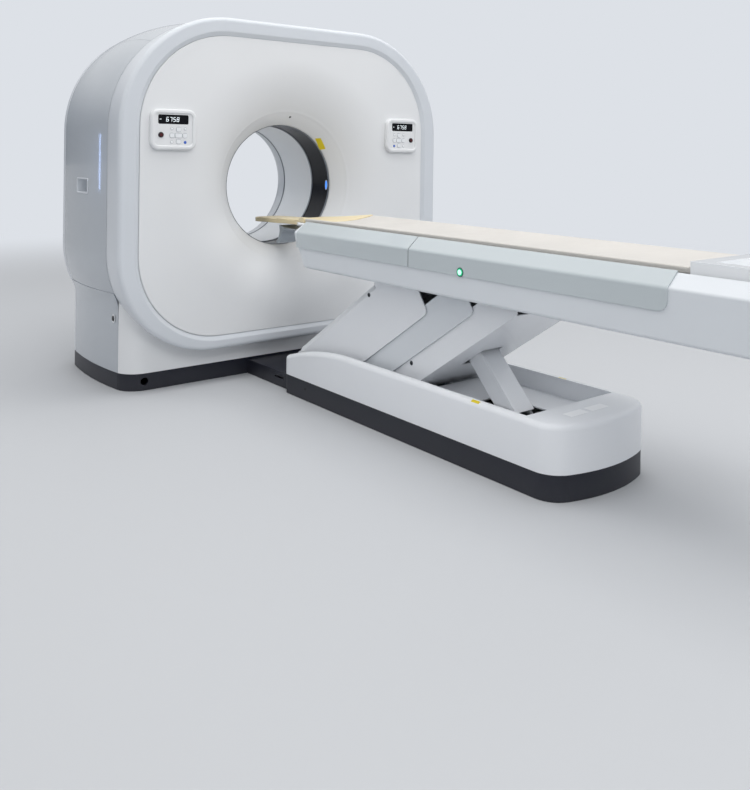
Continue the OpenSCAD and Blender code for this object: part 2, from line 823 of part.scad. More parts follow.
module right_side() { mirror([1, 0, 0]) children(); }
module pod_left() { pod(); }
module pod_right() { right_side() pod(); }
module pod_display_left() { pod_display(); }
module pod_display_right() { right_side() pod_display(); }
module stop_button_left() { stop_button(); }
module stop_button_right() { right_side() stop_button(); }
module up_key_left() { key(0); }
module down_key_left() { key(1); }
module out_key_left() { key(2); }
module in_key_left() { key(3); }
module centre_key_left() { key(4); }
module up_key_right() { right_side() key(0); }
module down_key_right() { right_side() key(1); }
module out_key_right() { right_side() key(2); }
module in_key_right() { right_side() key(3); }
module centre_key_right() { right_side() key(4); }

// Table base

base_head_y = seam_y - base_gap;
base_foot_y = base_head_y - base_len;
base_half = base_w / 2;
foot_r = 650;
foot_corner = 110;
head_corner = 35;

// Plan of the table base, with a bowed foot end
function base_half_plan(inset) = let(
    cx = base_half - foot_corner,
    cy = base_foot_y + foot_r - sqrt(pow(foot_r - foot_corner, 2) - pow(cx, 2)),
    a = atan2(cy - base_foot_y - foot_r, cx))
    concat(arc([0, base_foot_y + foot_r], foot_r - inset, -90, a, 5),
        arc([cx, cy], foot_corner - inset, a, 0, 7),
        arc([base_half - head_corner, base_head_y - head_corner], head_corner - inset, 0, 90, 4));

module base_plan(inset) {
    pts = base_half_plan(inset);
    polygon(concat(pts, [for (i = [len(pts) - 1:-1:0]) [-pts[i][0], pts[i][1]]]));
}

// Side view of the base's top edge: level, then falling in an arc to the head end
slope_r = 1670;
slope_y = base_head_y - 550;
nose_r = 30;
module base_side() {
    fall = asin((550 - nose_r) / slope_r);
    z1 = base_h - slope_r * (1 - cos(fall));
    rotate([90, 0, 90]) linear_extrude(base_w + 20, center = true)
        polygon(concat([[base_foot_y - 10, 0], [base_foot_y - 10, base_h]],
            arc([slope_y, base_h - slope_r], slope_r, 90, 90 - fall, 8),
            arc([base_head_y - nose_r, z1 - nose_r], nose_r, 70, 0, 4),
            [[base_head_y, 0]]));
}

slot_half = 62;
liner_t = 6;
module base_cover() {
    inner = base_half - rim_w;
    liner_mid = inner - liner_t / 2;
    color(cool) difference() {
        union() {
            difference() {
                intersection() {
                    translate([0, 0, base_skirt_h + gap]) linear_extrude(base_h) base_plan(0);
                    base_side();
                }
                // Arm well, open to the floor
                across_x(-inner, inner, pan_y, base_head_y - 8, 0, base_h + 10);
            }
            // Linings of the well
            for (s = [-1, 1]) across_x(s * liner_mid - liner_t / 2 - 0.5, s * liner_mid + liner_t / 2 + 0.5,
                pan_y - 1, base_head_y - 60, plate_h + 1, base_skirt_h + 14);
            across_x(-inner + 1, inner - 1, pan_y - 0.5, pan_y + liner_t, plate_h + 1, trough_z - 0.5);
        }
        // Trough above its floor
        across_x(-inner, inner, opening_foot_y, pan_y + 1, trough_z, base_h + 10);
        // Space below the trough's floor
        across_x(-inner, inner, opening_foot_y + 10, pan_y + 1, 0, trough_z - cover_t);
        // Space below the foot deck
        intersection() {
            translate([0, 0, base_skirt_h - 10]) linear_extrude(base_h - base_skirt_h + 4) base_plan(10);
            across_x(-base_half, base_half, base_foot_y, opening_foot_y - 8, 0, base_h);
        }
        across_x(-inner, inner, opening_foot_y - 9, opening_foot_y + 11, 0, trough_z - cover_t);
        // Slot for the strut
        across_x(-slot_half, slot_half, strut_foot_y - 82, strut_foot_y + 180, trough_z - 20,
            trough_z + 10);
    }
}

module base_skirt() {
    color(dark) linear_extrude(base_skirt_h) difference() {
        base_plan(2);
        base_plan(14);
    }
}

channel_half = 250;
channel_h = 78;
module floor_channel() {
    y0 = base_head_y - 2 + gap;
    y1 = low_front_y + 2 - gap;
    color(dark) difference() {
        across_x(-channel_half, channel_half, y0, y1, 0, channel_h);
        across_x(-channel_half + 10, channel_half - 10, y0 - 1, y1 + 1, -1, channel_h - 8);
        for (s = [-1, 1]) across_x(s * channel_half - 12, s * channel_half + 12, y0 + 70, y0 + 150, 44, 52);
    }
}

// Lift linkage: points of the side view as [y, z]
p1_y = base_head_y - pivot_inset;
p2_y = p1_y - mid_spacing;
p3_y = p1_y - rear_spacing;
opening_foot_y = base_foot_y + deck_len;
pan_y = p3_y - 255;
arm_dy = -arm_len * cos(arm_angle);
arm_dz = arm_len * sin(arm_angle);
q1_y = p1_y + arm_dy;
q3_y = p3_y + arm_dy;
q_z = pivot_z + arm_dz;
strut_n = -20;
strut_y = p3_y - strut_s * cos(arm_angle) + strut_n * sin(arm_angle);
strut_z = pivot_z + strut_s * sin(arm_angle) + strut_n * cos(arm_angle);
strut_foot_y = strut_y - strut_len * cos(strut_angle);
strut_foot_z = strut_z - strut_len * sin(strut_angle);
shaft_r = shaft_d / 2;
bore_gap_r = shaft_r + shaft_gap;
layer = plate_t + 3;
x1 = arm_w / 2;
x2 = x1 - layer;
x3 = x2 - layer;
bracket_x = 180;
bracket_t = 18;

// A side-view drawing in [distance along the arm, distance above its centre line], from a lower pivot
module side_view(y, x_a, x_b) {
    translate([x_a, y, pivot_z]) rotate([-arm_angle, 0, 0]) rotate([90, 0, 90]) mirror([1, 0])
        linear_extrude(x_b - x_a)
        children();
}

module both_sides(y, x_out) {
    for (s = [-1, 1]) side_view(y, s > 0 ? x_out - plate_t : -x_out, s > 0 ? x_out : -x_out + plate_t)
        children();
}

front_top = 78;
front_low = -205;
front_end = 1029;
knee_r = 26;
bevel_w = 36;

module front_arm_plate(top) {
    difference() {
        union() {
            circle(55);
            polygon([[front_start, top], [front_end, top], [front_end, front_low + knee_r],
                [front_end - knee_r, front_low], [500, front_low], [-10, -52], [-36, 40]]);
            translate([front_end - knee_r, front_low + knee_r]) circle(knee_r);
        }
        circle(bore_gap_r);
        translate([arm_len, 0]) circle(bore_gap_r);
    }
}
front_start = -15;
deck_end = 765;

module front_arm() {
    color(cool) {
        both_sides(p1_y, x1) front_arm_plate(front_top - bevel_w);
        // Bevelled top sheet
        intersection() {
            side_view(p1_y, -x1, x1)
                polygon([[front_start, front_top - bevel_w - 1], [deck_end, front_top - bevel_w - 1],
                [deck_end, front_top], [front_start, front_top]]);
            arm_section(p1_y, front_start - 5, deck_end + 5) difference() {
                bevel_section(0);
                bevel_section(plate_t);
            }
        }
        // Side plates reach up to the carriage beyond the sheet
        both_sides(p1_y, x1) polygon([[deck_end - 2, front_top - bevel_w - 1],
            [front_end, front_top - bevel_w - 1],
            [front_end, front_top - 8], [deck_end - 2, front_top - 8]]);
        // Cross tube
        side_view(p1_y, -x1 + plate_t, x1 - plate_t) translate([560, -60]) difference() {
            circle(30);
            circle(24);
        }
    }
}

// Cross section of an arm, drawn in [x, distance above the centre line] and run along the arm
module arm_section(y, s0, s1) {
    translate([0, y, pivot_z]) rotate([-arm_angle, 0, 0]) translate([0, -s0, 0]) rotate([90, 0, 0])
        linear_extrude(s1 - s0) children();
}

module bevel_section(inset) {
    polygon([[-x1 + inset, -400], [-x1 + inset, front_top - bevel_w - inset * 0.414],
        [-x1 + bevel_w + inset * 0.414, front_top - inset],
        [x1 - bevel_w - inset * 0.414, front_top - inset],
        [x1 - inset, front_top - bevel_w - inset * 0.414], [x1 - inset, -400]]);
}

mid_low = -72;
mid_top = 85;
mid_end = 905;
module middle_arm_cover() {
    color(cool) {
        both_sides(p2_y, x2) difference() {
            union() {
                polygon([[60, mid_top], [mid_end, mid_top], [mid_end, mid_low + knee_r],
                    [mid_end - knee_r, mid_low], [150, mid_low], [-10, -28], [-20, 20]]);
                translate([mid_end - knee_r, mid_low + knee_r]) circle(knee_r);
                circle(34);
            }
            circle(bore_gap_r);
        }
        side_view(p2_y, -x2 + plate_t - 0.01, x2 - plate_t + 0.01) translate([330, 16]) square([420, 5]);
    }
}

rear_low = -86;
rear_top = 45;
rear_end = 1029;
module rear_arm() {
    color(cool) {
        both_sides(p3_y, x3) difference() {
            union() {
                polygon([[40, rear_top], [rear_end, rear_top], [rear_end, rear_low + 52],
                    [rear_end - 60, rear_low],
                    [160, rear_low], [-10, -34], [-24, 20]]);
                circle(38);
            }
            circle(bore_gap_r);
            translate([arm_len, 0]) circle(shaft_r + 1);
        }
        // Underside sheet with the strut's slot
        difference() {
            side_view(p3_y, 1 - x3, x3 - 1) translate([166, rear_low + 0.5]) square([796, plate_t]);
            side_view(p3_y, -strut_half - 8, strut_half + 8) translate([strut_s - 80, rear_low - 1])
                square([160, plate_t + 2]);
        }
        // Lugs for the strut's pin
        for (s = [-1, 1]) side_view(p3_y, s > 0 ? strut_half + 2 : -strut_half - 14,
            s > 0 ? strut_half + 14 : -strut_half - 2)
            translate([strut_s, strut_n]) difference() {
                union() {
                    circle(30);
                    translate([-30, rear_low - strut_n + 1]) square([60, -rear_low + strut_n - 1]);
                }
                circle(12.2);
            }
    }
}

strut_half = 55;
strut_h = 84;
// Side view of the strut, from its upper pin down to its foot
module strut_view(xa, xb) {
    translate([xa, strut_y, strut_z]) rotate([strut_angle, 0, 0]) rotate([90, 0, 90]) mirror([1, 0])
        linear_extrude(xb - xa) children();
}

function strut_cut(n) = (strut_z + n * cos(strut_angle) - trough_z + 10) / sin(strut_angle);
module strut() {
    w = strut_h / 2;
    color(cool) {
        difference() {
            union() {
                strut_view(-strut_half, strut_half) union() {
                    circle(w - 8);
                    translate([0, -w + 8]) square([70, 2 * w - 16]);
                }
                // Box, cut off level just below the trough's floor
                strut_view(-strut_half, strut_half)
                    polygon([[62, -w], [62, w], [strut_cut(w), w], [strut_cut(-w), -w]]);
            }
            strut_view(-strut_half + 5, strut_half - 5) translate([-60, -w + 5])
                square([strut_len, 2 * w - 10]);
        }
        for (s = [-1, 1]) strut_view(s > 0 ? strut_half - 12 : -strut_half,
            s > 0 ? strut_half : -strut_half + 12) difference() {
            union() {
                translate([strut_len, 0]) circle(24);
                translate([strut_len - 60, -24]) square([60, 48]);
            }
            translate([strut_len, 0]) circle(12.2);
        }
        // Upper pin, fixed in the strut and turning in the rear arm's lugs
        strut_view(-strut_half - 16, strut_half + 16) circle(12);
    }
}

nut_half = 40;
module nut_block() {
    color(iron) difference() {
        union() {
            across_x(-nut_half, nut_half, strut_foot_y - 34, strut_foot_y + 34, strut_foot_z - 66,
                strut_foot_z + 22);
            x_cylinder(12, -strut_half - 3, strut_half + 3, strut_foot_y, strut_foot_z);
        }
        y_cylinder(screw_d / 2 + 5, 0, screw_z, strut_foot_y - 40, strut_foot_y + 40);
    }
}

screw_z = 110;
module lift_screw() {
    y0 = strut_foot_y - 165;
    y1 = strut_foot_y + 160;
    color(metal) {
        y_cylinder(screw_d / 2, 0, screw_z, y0 - 20, y1);
        y_cylinder(screw_d / 2 + 5, 0, screw_z, y1, y1 + 12);
        y_cylinder(10, 0, screw_z, y1 + 11, y1 + 12 + bearing_t);
        for (i = [0:21]) y_cylinder(screw_d / 2 + 1.5, 0, screw_z, y0 + 6 + 14 * i, y0 + 11 + 14 * i);
    }
    // Motor at the foot end
    color(iron) {
        y_cylinder(46, 0, screw_z, y0 - 150, y0 - 20 - bearing_t);
        y_cylinder(10, 0, screw_z, y0 - 20 - bearing_t, y0 - 19);
    }
}
bearing_t = 16;

table_anchor_x = 400;
table_anchor_y = 1400;
table_mid_y = base_head_y - base_len / 2;
module table_base_frame() {
    pan_in = 14.5;
    support_x = base_half - 22;
    color(iron) difference() {
        union() {
            linear_extrude(plate_h) base_plan(pan_in);
            // Longitudinal brackets with the pivot lugs
            for (s = [-1, 1]) translate([s > 0 ? bracket_x : -bracket_x - bracket_t, 0, 0])
                rotate([90, 0, 90])
                linear_extrude(bracket_t) union() {
                    translate([p3_y - 60, plate_h - 1]) square([p1_y - p3_y + 100, 74]);
                    for (y = [p1_y, p2_y, p3_y]) {
                        translate([y, pivot_z]) circle(shaft_r + 12);
                        translate([y - shaft_r - 12, plate_h])
                            square([2 * shaft_r + 24, pivot_z - plate_h]);
                    }
                }
            x_cylinder(shaft_r, -x1 - 2, x1 + 2, p1_y, pivot_z);
            x_cylinder(shaft_r, -x2 - 2, x2 + 2, p2_y, pivot_z);
            x_cylinder(shaft_r, -x3 - 2, x3 + 2, p3_y, pivot_z);
            // Screw bearings
            for (y = [strut_foot_y - 165 - 20 - bearing_t + 0.3, strut_foot_y + 172.3])
                across_x(-40, 40, y, y + bearing_t - 0.6, plate_h - 1, screw_z + 40);
            // Cover supports
            for (s = [-1, 1], y = [base_head_y - 200, base_foot_y + 520])
                across_x(s * support_x - 6.5, s * support_x + 6.5, y - 30, y + 30, plate_h - 1,
                    base_skirt_h);
        }
        y_cylinder(10.3, 0, screw_z, base_foot_y + 20, p3_y - 200);
        for (x = [-1, 1], y = [-1, 1])
            translate([x * table_anchor_x / 2, table_mid_y + y * table_anchor_y / 2, -1])
                cylinder(r = 7, h = plate_h + 2);
    }
}

// Tabletop

nose_y = seam_y - nose_gap;
carriage_foot_y = nose_y - carriage_len;
well_head_y = q1_y + 275;
well_foot_y = q3_y - 130;
rail_x = 120;
deck_z = 812;
groove_half = cradle_half_w + 9;
shoulder_r = 14;
edge_r = 12;
corner_r = 70;

// Side view of the carriage, with its leaning nose
module carriage_outline(inset) {
    polygon([[nose_y - 95 - inset, carriage_z + inset], [nose_y - 90 - inset, carriage_z + 8],
        [nose_y - 70 - inset, carriage_z + 46],
        [nose_y - 10 - inset, carriage_z + 131], [nose_y - inset, carriage_z + 165],
        [nose_y - inset, carriage_top + 20],
        [carriage_foot_y + inset, carriage_top + 20], [carriage_foot_y + inset, carriage_z + inset]]);
}

// Angle at which the round of a shoulder meets its slope
shoulder_run = [groove_half - carriage_half_w + shoulder_r, carriage_top - carriage_side_z];
shoulder_a = atan2(shoulder_run[1], shoulder_run[0]) - acos(shoulder_r / norm(shoulder_run));
// Points of a shoulder from the side up to a distance from the middle, moved outwards by grow
function shoulder(grow, x_end) = concat(
    arc([carriage_half_w - shoulder_r, carriage_side_z], shoulder_r + grow, 0, shoulder_a, 6),
    [[x_end, carriage_top + grow / sin(shoulder_a) + (groove_half - x_end) / tan(shoulder_a)]]);

// Runs a cross section, drawn in [x, z] for the right side and mirrored, along the table
module along_table(y0, y1, pts) {
    translate([0, y1, 0]) rotate([90, 0, 0]) linear_extrude(y1 - y0)
        polygon(concat(pts, [for (i = [len(pts) - 1:-1:0]) [-pts[i][0], pts[i][1]]]));
}

// Runs it along each side on its own
module beside_table(y0, y1, pts) {
    for (s = [0, 1]) mirror([s, 0, 0]) translate([0, y1, 0]) rotate([90, 0, 0]) linear_extrude(y1 - y0)
        polygon(pts);
}

// Plan of the carriage, with rounded corners at the nose
module carriage_plan(inset) {
    half = carriage_half_w - inset;
    right = concat([[half, carriage_foot_y - 10]],
        arc([carriage_half_w - corner_r, nose_y - corner_r], corner_r - inset, 0, 90, 7));
    translate([0, 0, carriage_z - 5]) linear_extrude(carriage_top + 60 - carriage_z)
        polygon(concat(right, [for (i = [len(right) - 1:-1:0]) [-right[i][0], right[i][1]]]));
}

module carriage_body(inset, section) {
    intersection() {
        rotate([90, 0, 90]) linear_extrude(2 * carriage_half_w + 20, center = true) carriage_outline(inset);
        along_table(carriage_foot_y - 20, nose_y + 20, section);
        carriage_plan(inset);
    }
}

wall_x = groove_half + cover_t;
wall_low_z = deck_z - 6;
module carriage_cover() {
    low_arc = arc([carriage_half_w - edge_r, carriage_z + edge_r], edge_r, -90, 0, 4);
    skin = concat(low_arc, shoulder(0, groove_half));
    hollow = concat([[carriage_half_w - cover_t, carriage_z + cover_t]], shoulder(-cover_t, wall_x),
        [[wall_x, wall_low_z]]);
    color(cool) difference() {
        carriage_body(0, skin);
        carriage_body(cover_t, hollow);
        across_x(-groove_half, groove_half, carriage_foot_y - 10, nose_y + 10, wall_low_z - 1,
            carriage_top + 60);
        // Way out for the nose support
        across_x(-nose_half - 4, nose_half + 4, nose_y - 100, nose_y + 10, deck_z - 16, deck_z);
        across_x(-x1 - 8, x1 + 8, well_foot_y, well_head_y, carriage_z - 10, carriage_z + 40);
        // Seats of the side bands
        beside_table(band_foot_y - gap, band_head_y + gap,
            concat([[carriage_half_w + 20, band_z - gap]], shoulder(20, groove_half - 1), seat_back(gap)));
        x_cylinder(button_r + 0.5, -carriage_half_w - 10, -carriage_half_w + 30, button_y, button_z);
    }
}

band_seat = 2;
band_rise = 4.8;
function seat_back(more) = concat(reversed(shoulder(-band_seat - more, groove_half - 1)),
    [[carriage_half_w - band_seat - more, band_z - gap]]);

band_head_y = nose_y - 76;
band_foot_y = nose_y - band_reach;
band_split_y = nose_y - 955;
band_z = 762;
band_r = 34;
module side_bands() {
    section = concat([[carriage_half_w + band_rise, band_z]], shoulder(band_rise, groove_half + 0.5),
        reversed(shoulder(-band_seat, groove_half + 0.5)), [[carriage_half_w - band_seat, band_z]]);
    color(cool) difference() {
        beside_table(band_split_y + 1.5, band_head_y, section);
        x_cylinder(button_r + 0.5, -carriage_half_w - 10, -carriage_half_w + 30, button_y, button_z);
    }
    color(cool) difference() {
        beside_table(band_foot_y, band_split_y - 1.5, section);
        // Rounded lower corner
        rotate([90, 0, 90]) linear_extrude(2 * carriage_half_w + 20, center = true) difference() {
            translate([band_foot_y - 1, band_z - 1]) square([band_r + 1, band_r + 1]);
            translate([band_foot_y + band_r, band_z + band_r]) circle(band_r);
        }
        x_cylinder(button_r + 0.5, -carriage_half_w - 10, -carriage_half_w + 30, button_y, button_z);
    }
}

button_r = 15;
button_y = nose_y - 1278;
button_z = 777;
module table_button() {
    color([0.1, 0.65, 0.45])
        x_cylinder(button_r, -carriage_half_w - 8, -carriage_half_w + 14, button_y, button_z);
}

nose_half = 55;
nose_plank_y = nose_y + 530;
module carriage_frame() {
    z0 = carriage_z + cover_t + gap;
    color(iron) union() {
        // Deck on which the cradle runs, and its two rails
        across_x(-groove_half + 6, groove_half - 6, carriage_foot_y + 30, nose_y - 130, deck_z - 12,
            deck_z - 2.3);
        for (s = [-1, 1]) {
            across_x(s * rail_x - 10, s * rail_x + 10, carriage_foot_y + 30, nose_y - 130, deck_z - 3,
                deck_z + 6);
            // Long beams outside the arms' well
            across_x(s > 0 ? bracket_x : -bracket_x - bracket_t, s > 0 ? bracket_x + bracket_t : -bracket_x,
                q3_y - 90, q1_y + 90, q_z - 34, deck_z - 11);
            for (b = [[carriage_foot_y + 30, well_foot_y - 10], [well_head_y + 10, nose_y - 150]])
                across_x(s > 0 ? 150 : -198, s > 0 ? 198 : -150, b[0], b[1], z0, deck_z - 11);
        }
        for (y = [q1_y, q3_y]) x_cylinder(shaft_r, -x1 - 2, x1 + 2, y, q_z);
    }
    // Nose support under the cradle's head end, ending in a curved plate
    color(white) {
        across_x(-nose_half, nose_half, nose_y - 140, nose_plank_y - 40, deck_z - 11, deck_z - 2.3);
        translate([0, nose_plank_y - 90, 0]) rotate([90, 0, 90]) linear_extrude(2 * nose_half, center = true)
            polygon([[0, deck_z - 11], [0, deck_z - 2.3], [50, deck_z + 8], [62, deck_z + 8],
                [56, deck_z - 20], [60, 768], [76, 738],
                [90, 727], [90, 718], [78, 714], [58, 722], [44, 748], [36, 782]]);
    }
}

cradle_head_y = seam_y - cradle_gap;
cradle_foot_y = cradle_head_y - cradle_len;
rail_z = deck_z + 6 + gap;
shell_z = rail_z + 17;
dish_r = 986;
dish_z = shell_z + cradle_t + dish_r;
head_flat = 70;
head_taper_y = cradle_head_y - 260;

// Half section between two dished surfaces, out to a distance from the middle
function dished(r_low, r_top, half) = let(a = asin(half / r_low), b = asin(half / r_top))
    concat(arc([0, dish_z], r_low, 270, 270 + a, 8), arc([0, dish_z], r_top, 270 + b, 270, 8));

// Plan of the tapered head end, smaller by an inset
module head_plan(inset, y_end) {
    c1 = [head_flat, cradle_head_y - 40];
    c2 = [cradle_half_w - 80, head_taper_y];
    lean = atan2(c2[0] + 80 - c1[0] - 40, c1[1] - c2[1]);
    right = concat([[cradle_half_w - inset, y_end]], arc(c2, 80 - inset, 0, lean, 4),
        arc(c1, 40 - inset, lean, 90, 5));
    polygon(concat(right, [for (i = [len(right) - 1:-1:0]) [-right[i][0], right[i][1]]]));
}

block_head_y = cradle_foot_y + 282;
block_z = 920;
module cradle() {
    r_in = dish_r + cradle_t;
    a = asin((cradle_half_w - 8) / r_in);
    rim = concat(arc([0, dish_z], r_in, 270, 270 + a, 9),
        arc([(dish_r + cradle_t / 2) * sin(a), dish_z - (dish_r + cradle_t / 2) * cos(a)], cradle_t / 2,
            -90 + a, 90 + a, 6),
        arc([0, dish_z], dish_r, 270 + a, 270, 9));
    color(white) difference() {
        union() {
            intersection() {
                along_table(cradle_foot_y, cradle_head_y, rim);
                translate([0, 0, rail_z]) linear_extrude(120) head_plan(0, cradle_foot_y);
            }
            // Runners on the carriage's rails
            for (s = [-1, 1]) across_x(s * rail_x - 8, s * rail_x + 8, cradle_foot_y + 20,
                cradle_head_y - 200, rail_z, shell_z + 12);
            // Block with the pulling recess at the foot end
            across_x(-cradle_half_w + 2, cradle_half_w - 2, cradle_foot_y, block_head_y, shell_z + 4,
                block_z);
        }
        across_x(-cradle_half_w + 50, cradle_half_w - 50, cradle_foot_y + 60, block_head_y - 60,
            shell_z + cradle_t + 10, block_z + 1);
        // Slot for the head holder's tongue
        across_x(-slot_w / 2, slot_w / 2, cradle_head_y - 110, cradle_head_y + 1, shell_z + 5,
            shell_z + 12);
    }
}

mattress_y = cradle_head_y - 280;
mattress_end_y = block_head_y + 12;
mattress_half = cradle_half_w - 8;
module mattress() {
    color(cream) along_table(mattress_end_y, mattress_y,
        dished(dish_r - gap, dish_r - mattress_t, mattress_half));
}

slot_w = 116;
tongue_tip_z = 825;
tongue_root_z = shell_z + 6;
module head_holder() {
    tip_y = seam_y + holder_reach;
    half = holder_w / 2;
    color(tan_foam) {
        // Pad on the cradle's tapered head
        intersection() {
            along_table(mattress_y + 2, cradle_head_y,
                dished(dish_r - gap, dish_r - mattress_t, mattress_half));
            translate([0, 0, rail_z]) linear_extrude(120) head_plan(8, mattress_y - 10);
        }
        // Tongue into the bore
        difference() {
            intersection() {
                rotate([90, 0, 90]) linear_extrude(holder_w, center = true)
                    polygon([[tip_y, tongue_tip_z + 8], [tip_y, tongue_tip_z + tongue_t - 8],
                        [tip_y - 10, tongue_tip_z + tongue_t],
                        [cradle_head_y - 40, tongue_root_z + tongue_t], [cradle_head_y - 40, tongue_root_z],
                        [tip_y - 10, tongue_tip_z]]);
                translate([0, 0, rail_z - 10]) linear_extrude(120) {
                    translate([-half, cradle_head_y - 50]) square([holder_w, tip_y - cradle_head_y]);
                    translate([-half + 45, cradle_head_y - 50])
                        square([holder_w - 90, tip_y - cradle_head_y + 50]);
                    for (s = [-1, 1]) translate([s * (half - 45), tip_y - 45]) circle(45);
                }
            }
            // Clear of the cradle's shell
            along_table(cradle_head_y - 60, cradle_head_y + gap,
                dished(dish_r + cradle_t + 20, dish_r - gap, mattress_half));
        }
        // Root bar in the cradle's slot
        across_x(-slot_w / 2 + gap, slot_w / 2 - gap, cradle_head_y - 108, cradle_head_y + 30,
            shell_z + 5 + gap, shell_z + 12 - gap);
    }
}

gantry_base_frame();
stator_frame();
main_bearing();
drive_stator();
rotor_drum();
slip_ring();
xray_tube();
collimator();
hv_generator();
cooling_unit();
detector_array();
gantry_skirt_front();
gantry_skirt_rear();
lower_front_cover();
front_bezel();
front_panel();
side_cover_left();
side_cover_right();
lower_side_cover_left();
lower_side_cover_right();
top_cover();
rear_cover();
bore_window();
bore_liner();
bore_trims();
cover_lock_left();
cover_lock_right();
pod_left();
pod_right();
pod_display_left();
pod_display_right();
stop_button_left();
stop_button_right();
up_key_left();
down_key_left();
in_key_left();
out_key_left();
centre_key_left();
up_key_right();
down_key_right();
in_key_right();
out_key_right();
centre_key_right();
table_base_frame();
base_cover();
base_skirt();
floor_channel();
front_arm();
middle_arm_cover();
rear_arm();
strut();
nut_block();
lift_screw();
carriage_frame();
carriage_cover();
side_bands();
cradle();
mattress();
head_holder();
table_button();
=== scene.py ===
import json
import math

import bmesh
import bpy
import numpy as np
from mathutils import Matrix, Vector


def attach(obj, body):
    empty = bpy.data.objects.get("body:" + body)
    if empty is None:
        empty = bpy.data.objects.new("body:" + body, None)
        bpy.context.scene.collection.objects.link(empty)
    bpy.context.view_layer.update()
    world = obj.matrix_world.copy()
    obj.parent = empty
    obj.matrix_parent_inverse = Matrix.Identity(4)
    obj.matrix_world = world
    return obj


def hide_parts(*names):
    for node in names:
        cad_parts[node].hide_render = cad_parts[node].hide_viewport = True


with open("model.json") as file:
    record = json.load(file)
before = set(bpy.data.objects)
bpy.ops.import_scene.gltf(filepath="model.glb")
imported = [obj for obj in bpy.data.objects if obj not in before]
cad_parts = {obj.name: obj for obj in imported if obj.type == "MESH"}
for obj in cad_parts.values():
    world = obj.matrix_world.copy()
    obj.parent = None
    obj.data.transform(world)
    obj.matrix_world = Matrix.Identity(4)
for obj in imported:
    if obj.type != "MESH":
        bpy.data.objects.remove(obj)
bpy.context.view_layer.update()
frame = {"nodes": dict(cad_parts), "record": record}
nodes = frame["nodes"]
record = frame["record"]
bodyOf = {n: b for b, names in record["behaviour"]["bodies"].items() for n in names}
print("stage: frame loaded")

# Colours and materials


def linear(hexColour):
    # sRGB hex to linear light: the sRGB curve, channel by channel
    parts = [int(hexColour[i : i + 2], 16) / 255 for i in (1, 3, 5)]
    return tuple(c / 12.92 if c <= 0.04045 else ((c + 0.055) / 1.055) ** 2.4 for c in parts) + (1.0,)


def shade(hexColour, factor):
    # the same colour, each channel times a factor in linear light, at most 1
    return tuple(min(c * factor, 1) for c in linear(hexColour)[:3]) + (1.0,)


def grey(value):
    # a number as a colour of equal channels
    return (value, value, value, 1.0)


def addNode(tree, kind, settings=None, links=None):
    # one shader node with its settings and the sockets that feed it
    item = tree.nodes.new(kind)
    for key, value in (settings or {}).items():
        if isinstance(key, int) or key in item.inputs:
            item.inputs[key].default_value = value
        else:
            setattr(item, key, value)
    for key, socket in (links or {}).items():
        tree.links.new(socket, item.inputs[key])
    return item


def newMaterial(name):
    # an empty material; gives its tree and object coordinates too
    material = bpy.data.materials.new(name)
    material.use_nodes = True
    tree = material.node_tree
    tree.nodes.clear()
    return material, tree, addNode(tree, "ShaderNodeTexCoord").outputs["Object"]


def addShader(tree, settings, links):
    # the Principled shader with its sockets fed, joined to the output
    shader = addNode(tree, "ShaderNodeBsdfPrincipled", settings, links)
    addNode(tree, "ShaderNodeOutputMaterial", links={"Surface": shader.outputs[0]})


def surfaceNoise(tree, place, size, detail=3.0, rough=0.5):
    # noise whose blotches are about size metres across
    settings = {"Scale": 1 / size, "Detail": detail, "Roughness": rough}
    return addNode(tree, "ShaderNodeTexNoise", settings, {"Vector": place}).outputs["Fac"]


def blotches(tree, place, size, low, high, detail=3.0):
    # a colour or grey that wanders from low to high, in blotches about size metres across
    noise = surfaceNoise(tree, place, size, detail)
    ramp = addNode(tree, "ShaderNodeValToRGB", links={"Fac": noise})
    first, last = ramp.color_ramp.elements
    first.position, last.position = 0.35, 0.65
    first.color, last.color = low, high
    return ramp.outputs[0]


def bumpFrom(tree, height, strength, distance):
    # a normal from a field of heights
    depth = {"Strength": strength, "Distance": distance}
    return addNode(tree, "ShaderNodeBump", depth, {"Height": height}).outputs[0]


def dusted(tree, place, tone, dust):
    # mixes dust over a tone: linear fall with height times fine noise, at most the given strength
    low, high, strength = dust
    height = addNode(tree, "ShaderNodeSeparateXYZ", links={0: place}).outputs["Z"]
    ends = {"From Min": high, "From Max": low, "To Min": 0.0, "To Max": strength}
    fall = addNode(tree, "ShaderNodeMapRange", ends, {"Value": height})
    cloud = surfaceNoise(tree, place, 0.008, 8.0, 0.7)
    settings = {"operation": "MULTIPLY", "use_clamp": True}
    amount = addNode(tree, "ShaderNodeMath", settings, {0: fall.outputs[0], 1: cloud})
    colour = {"data_type": "RGBA", 7: linear("#8B8A88")}
    return addNode(tree, "ShaderNodeMix", colour, {0: amount.outputs[0], 6: tone}).outputs[2]


plainLook = {
    "metal": 0.0, "ior": 1.5, "coat": 0.0, "coatRough": 0.05, "drift": 0.012, "dust": None,
    "grain": 0.003, "grainDepth": 0.00001, "bump": 0.2,
}
shaderInputs = {"Metallic": "metal", "IOR": "ior", "Coat Weight": "coat", "Coat Roughness": "coatRough"}


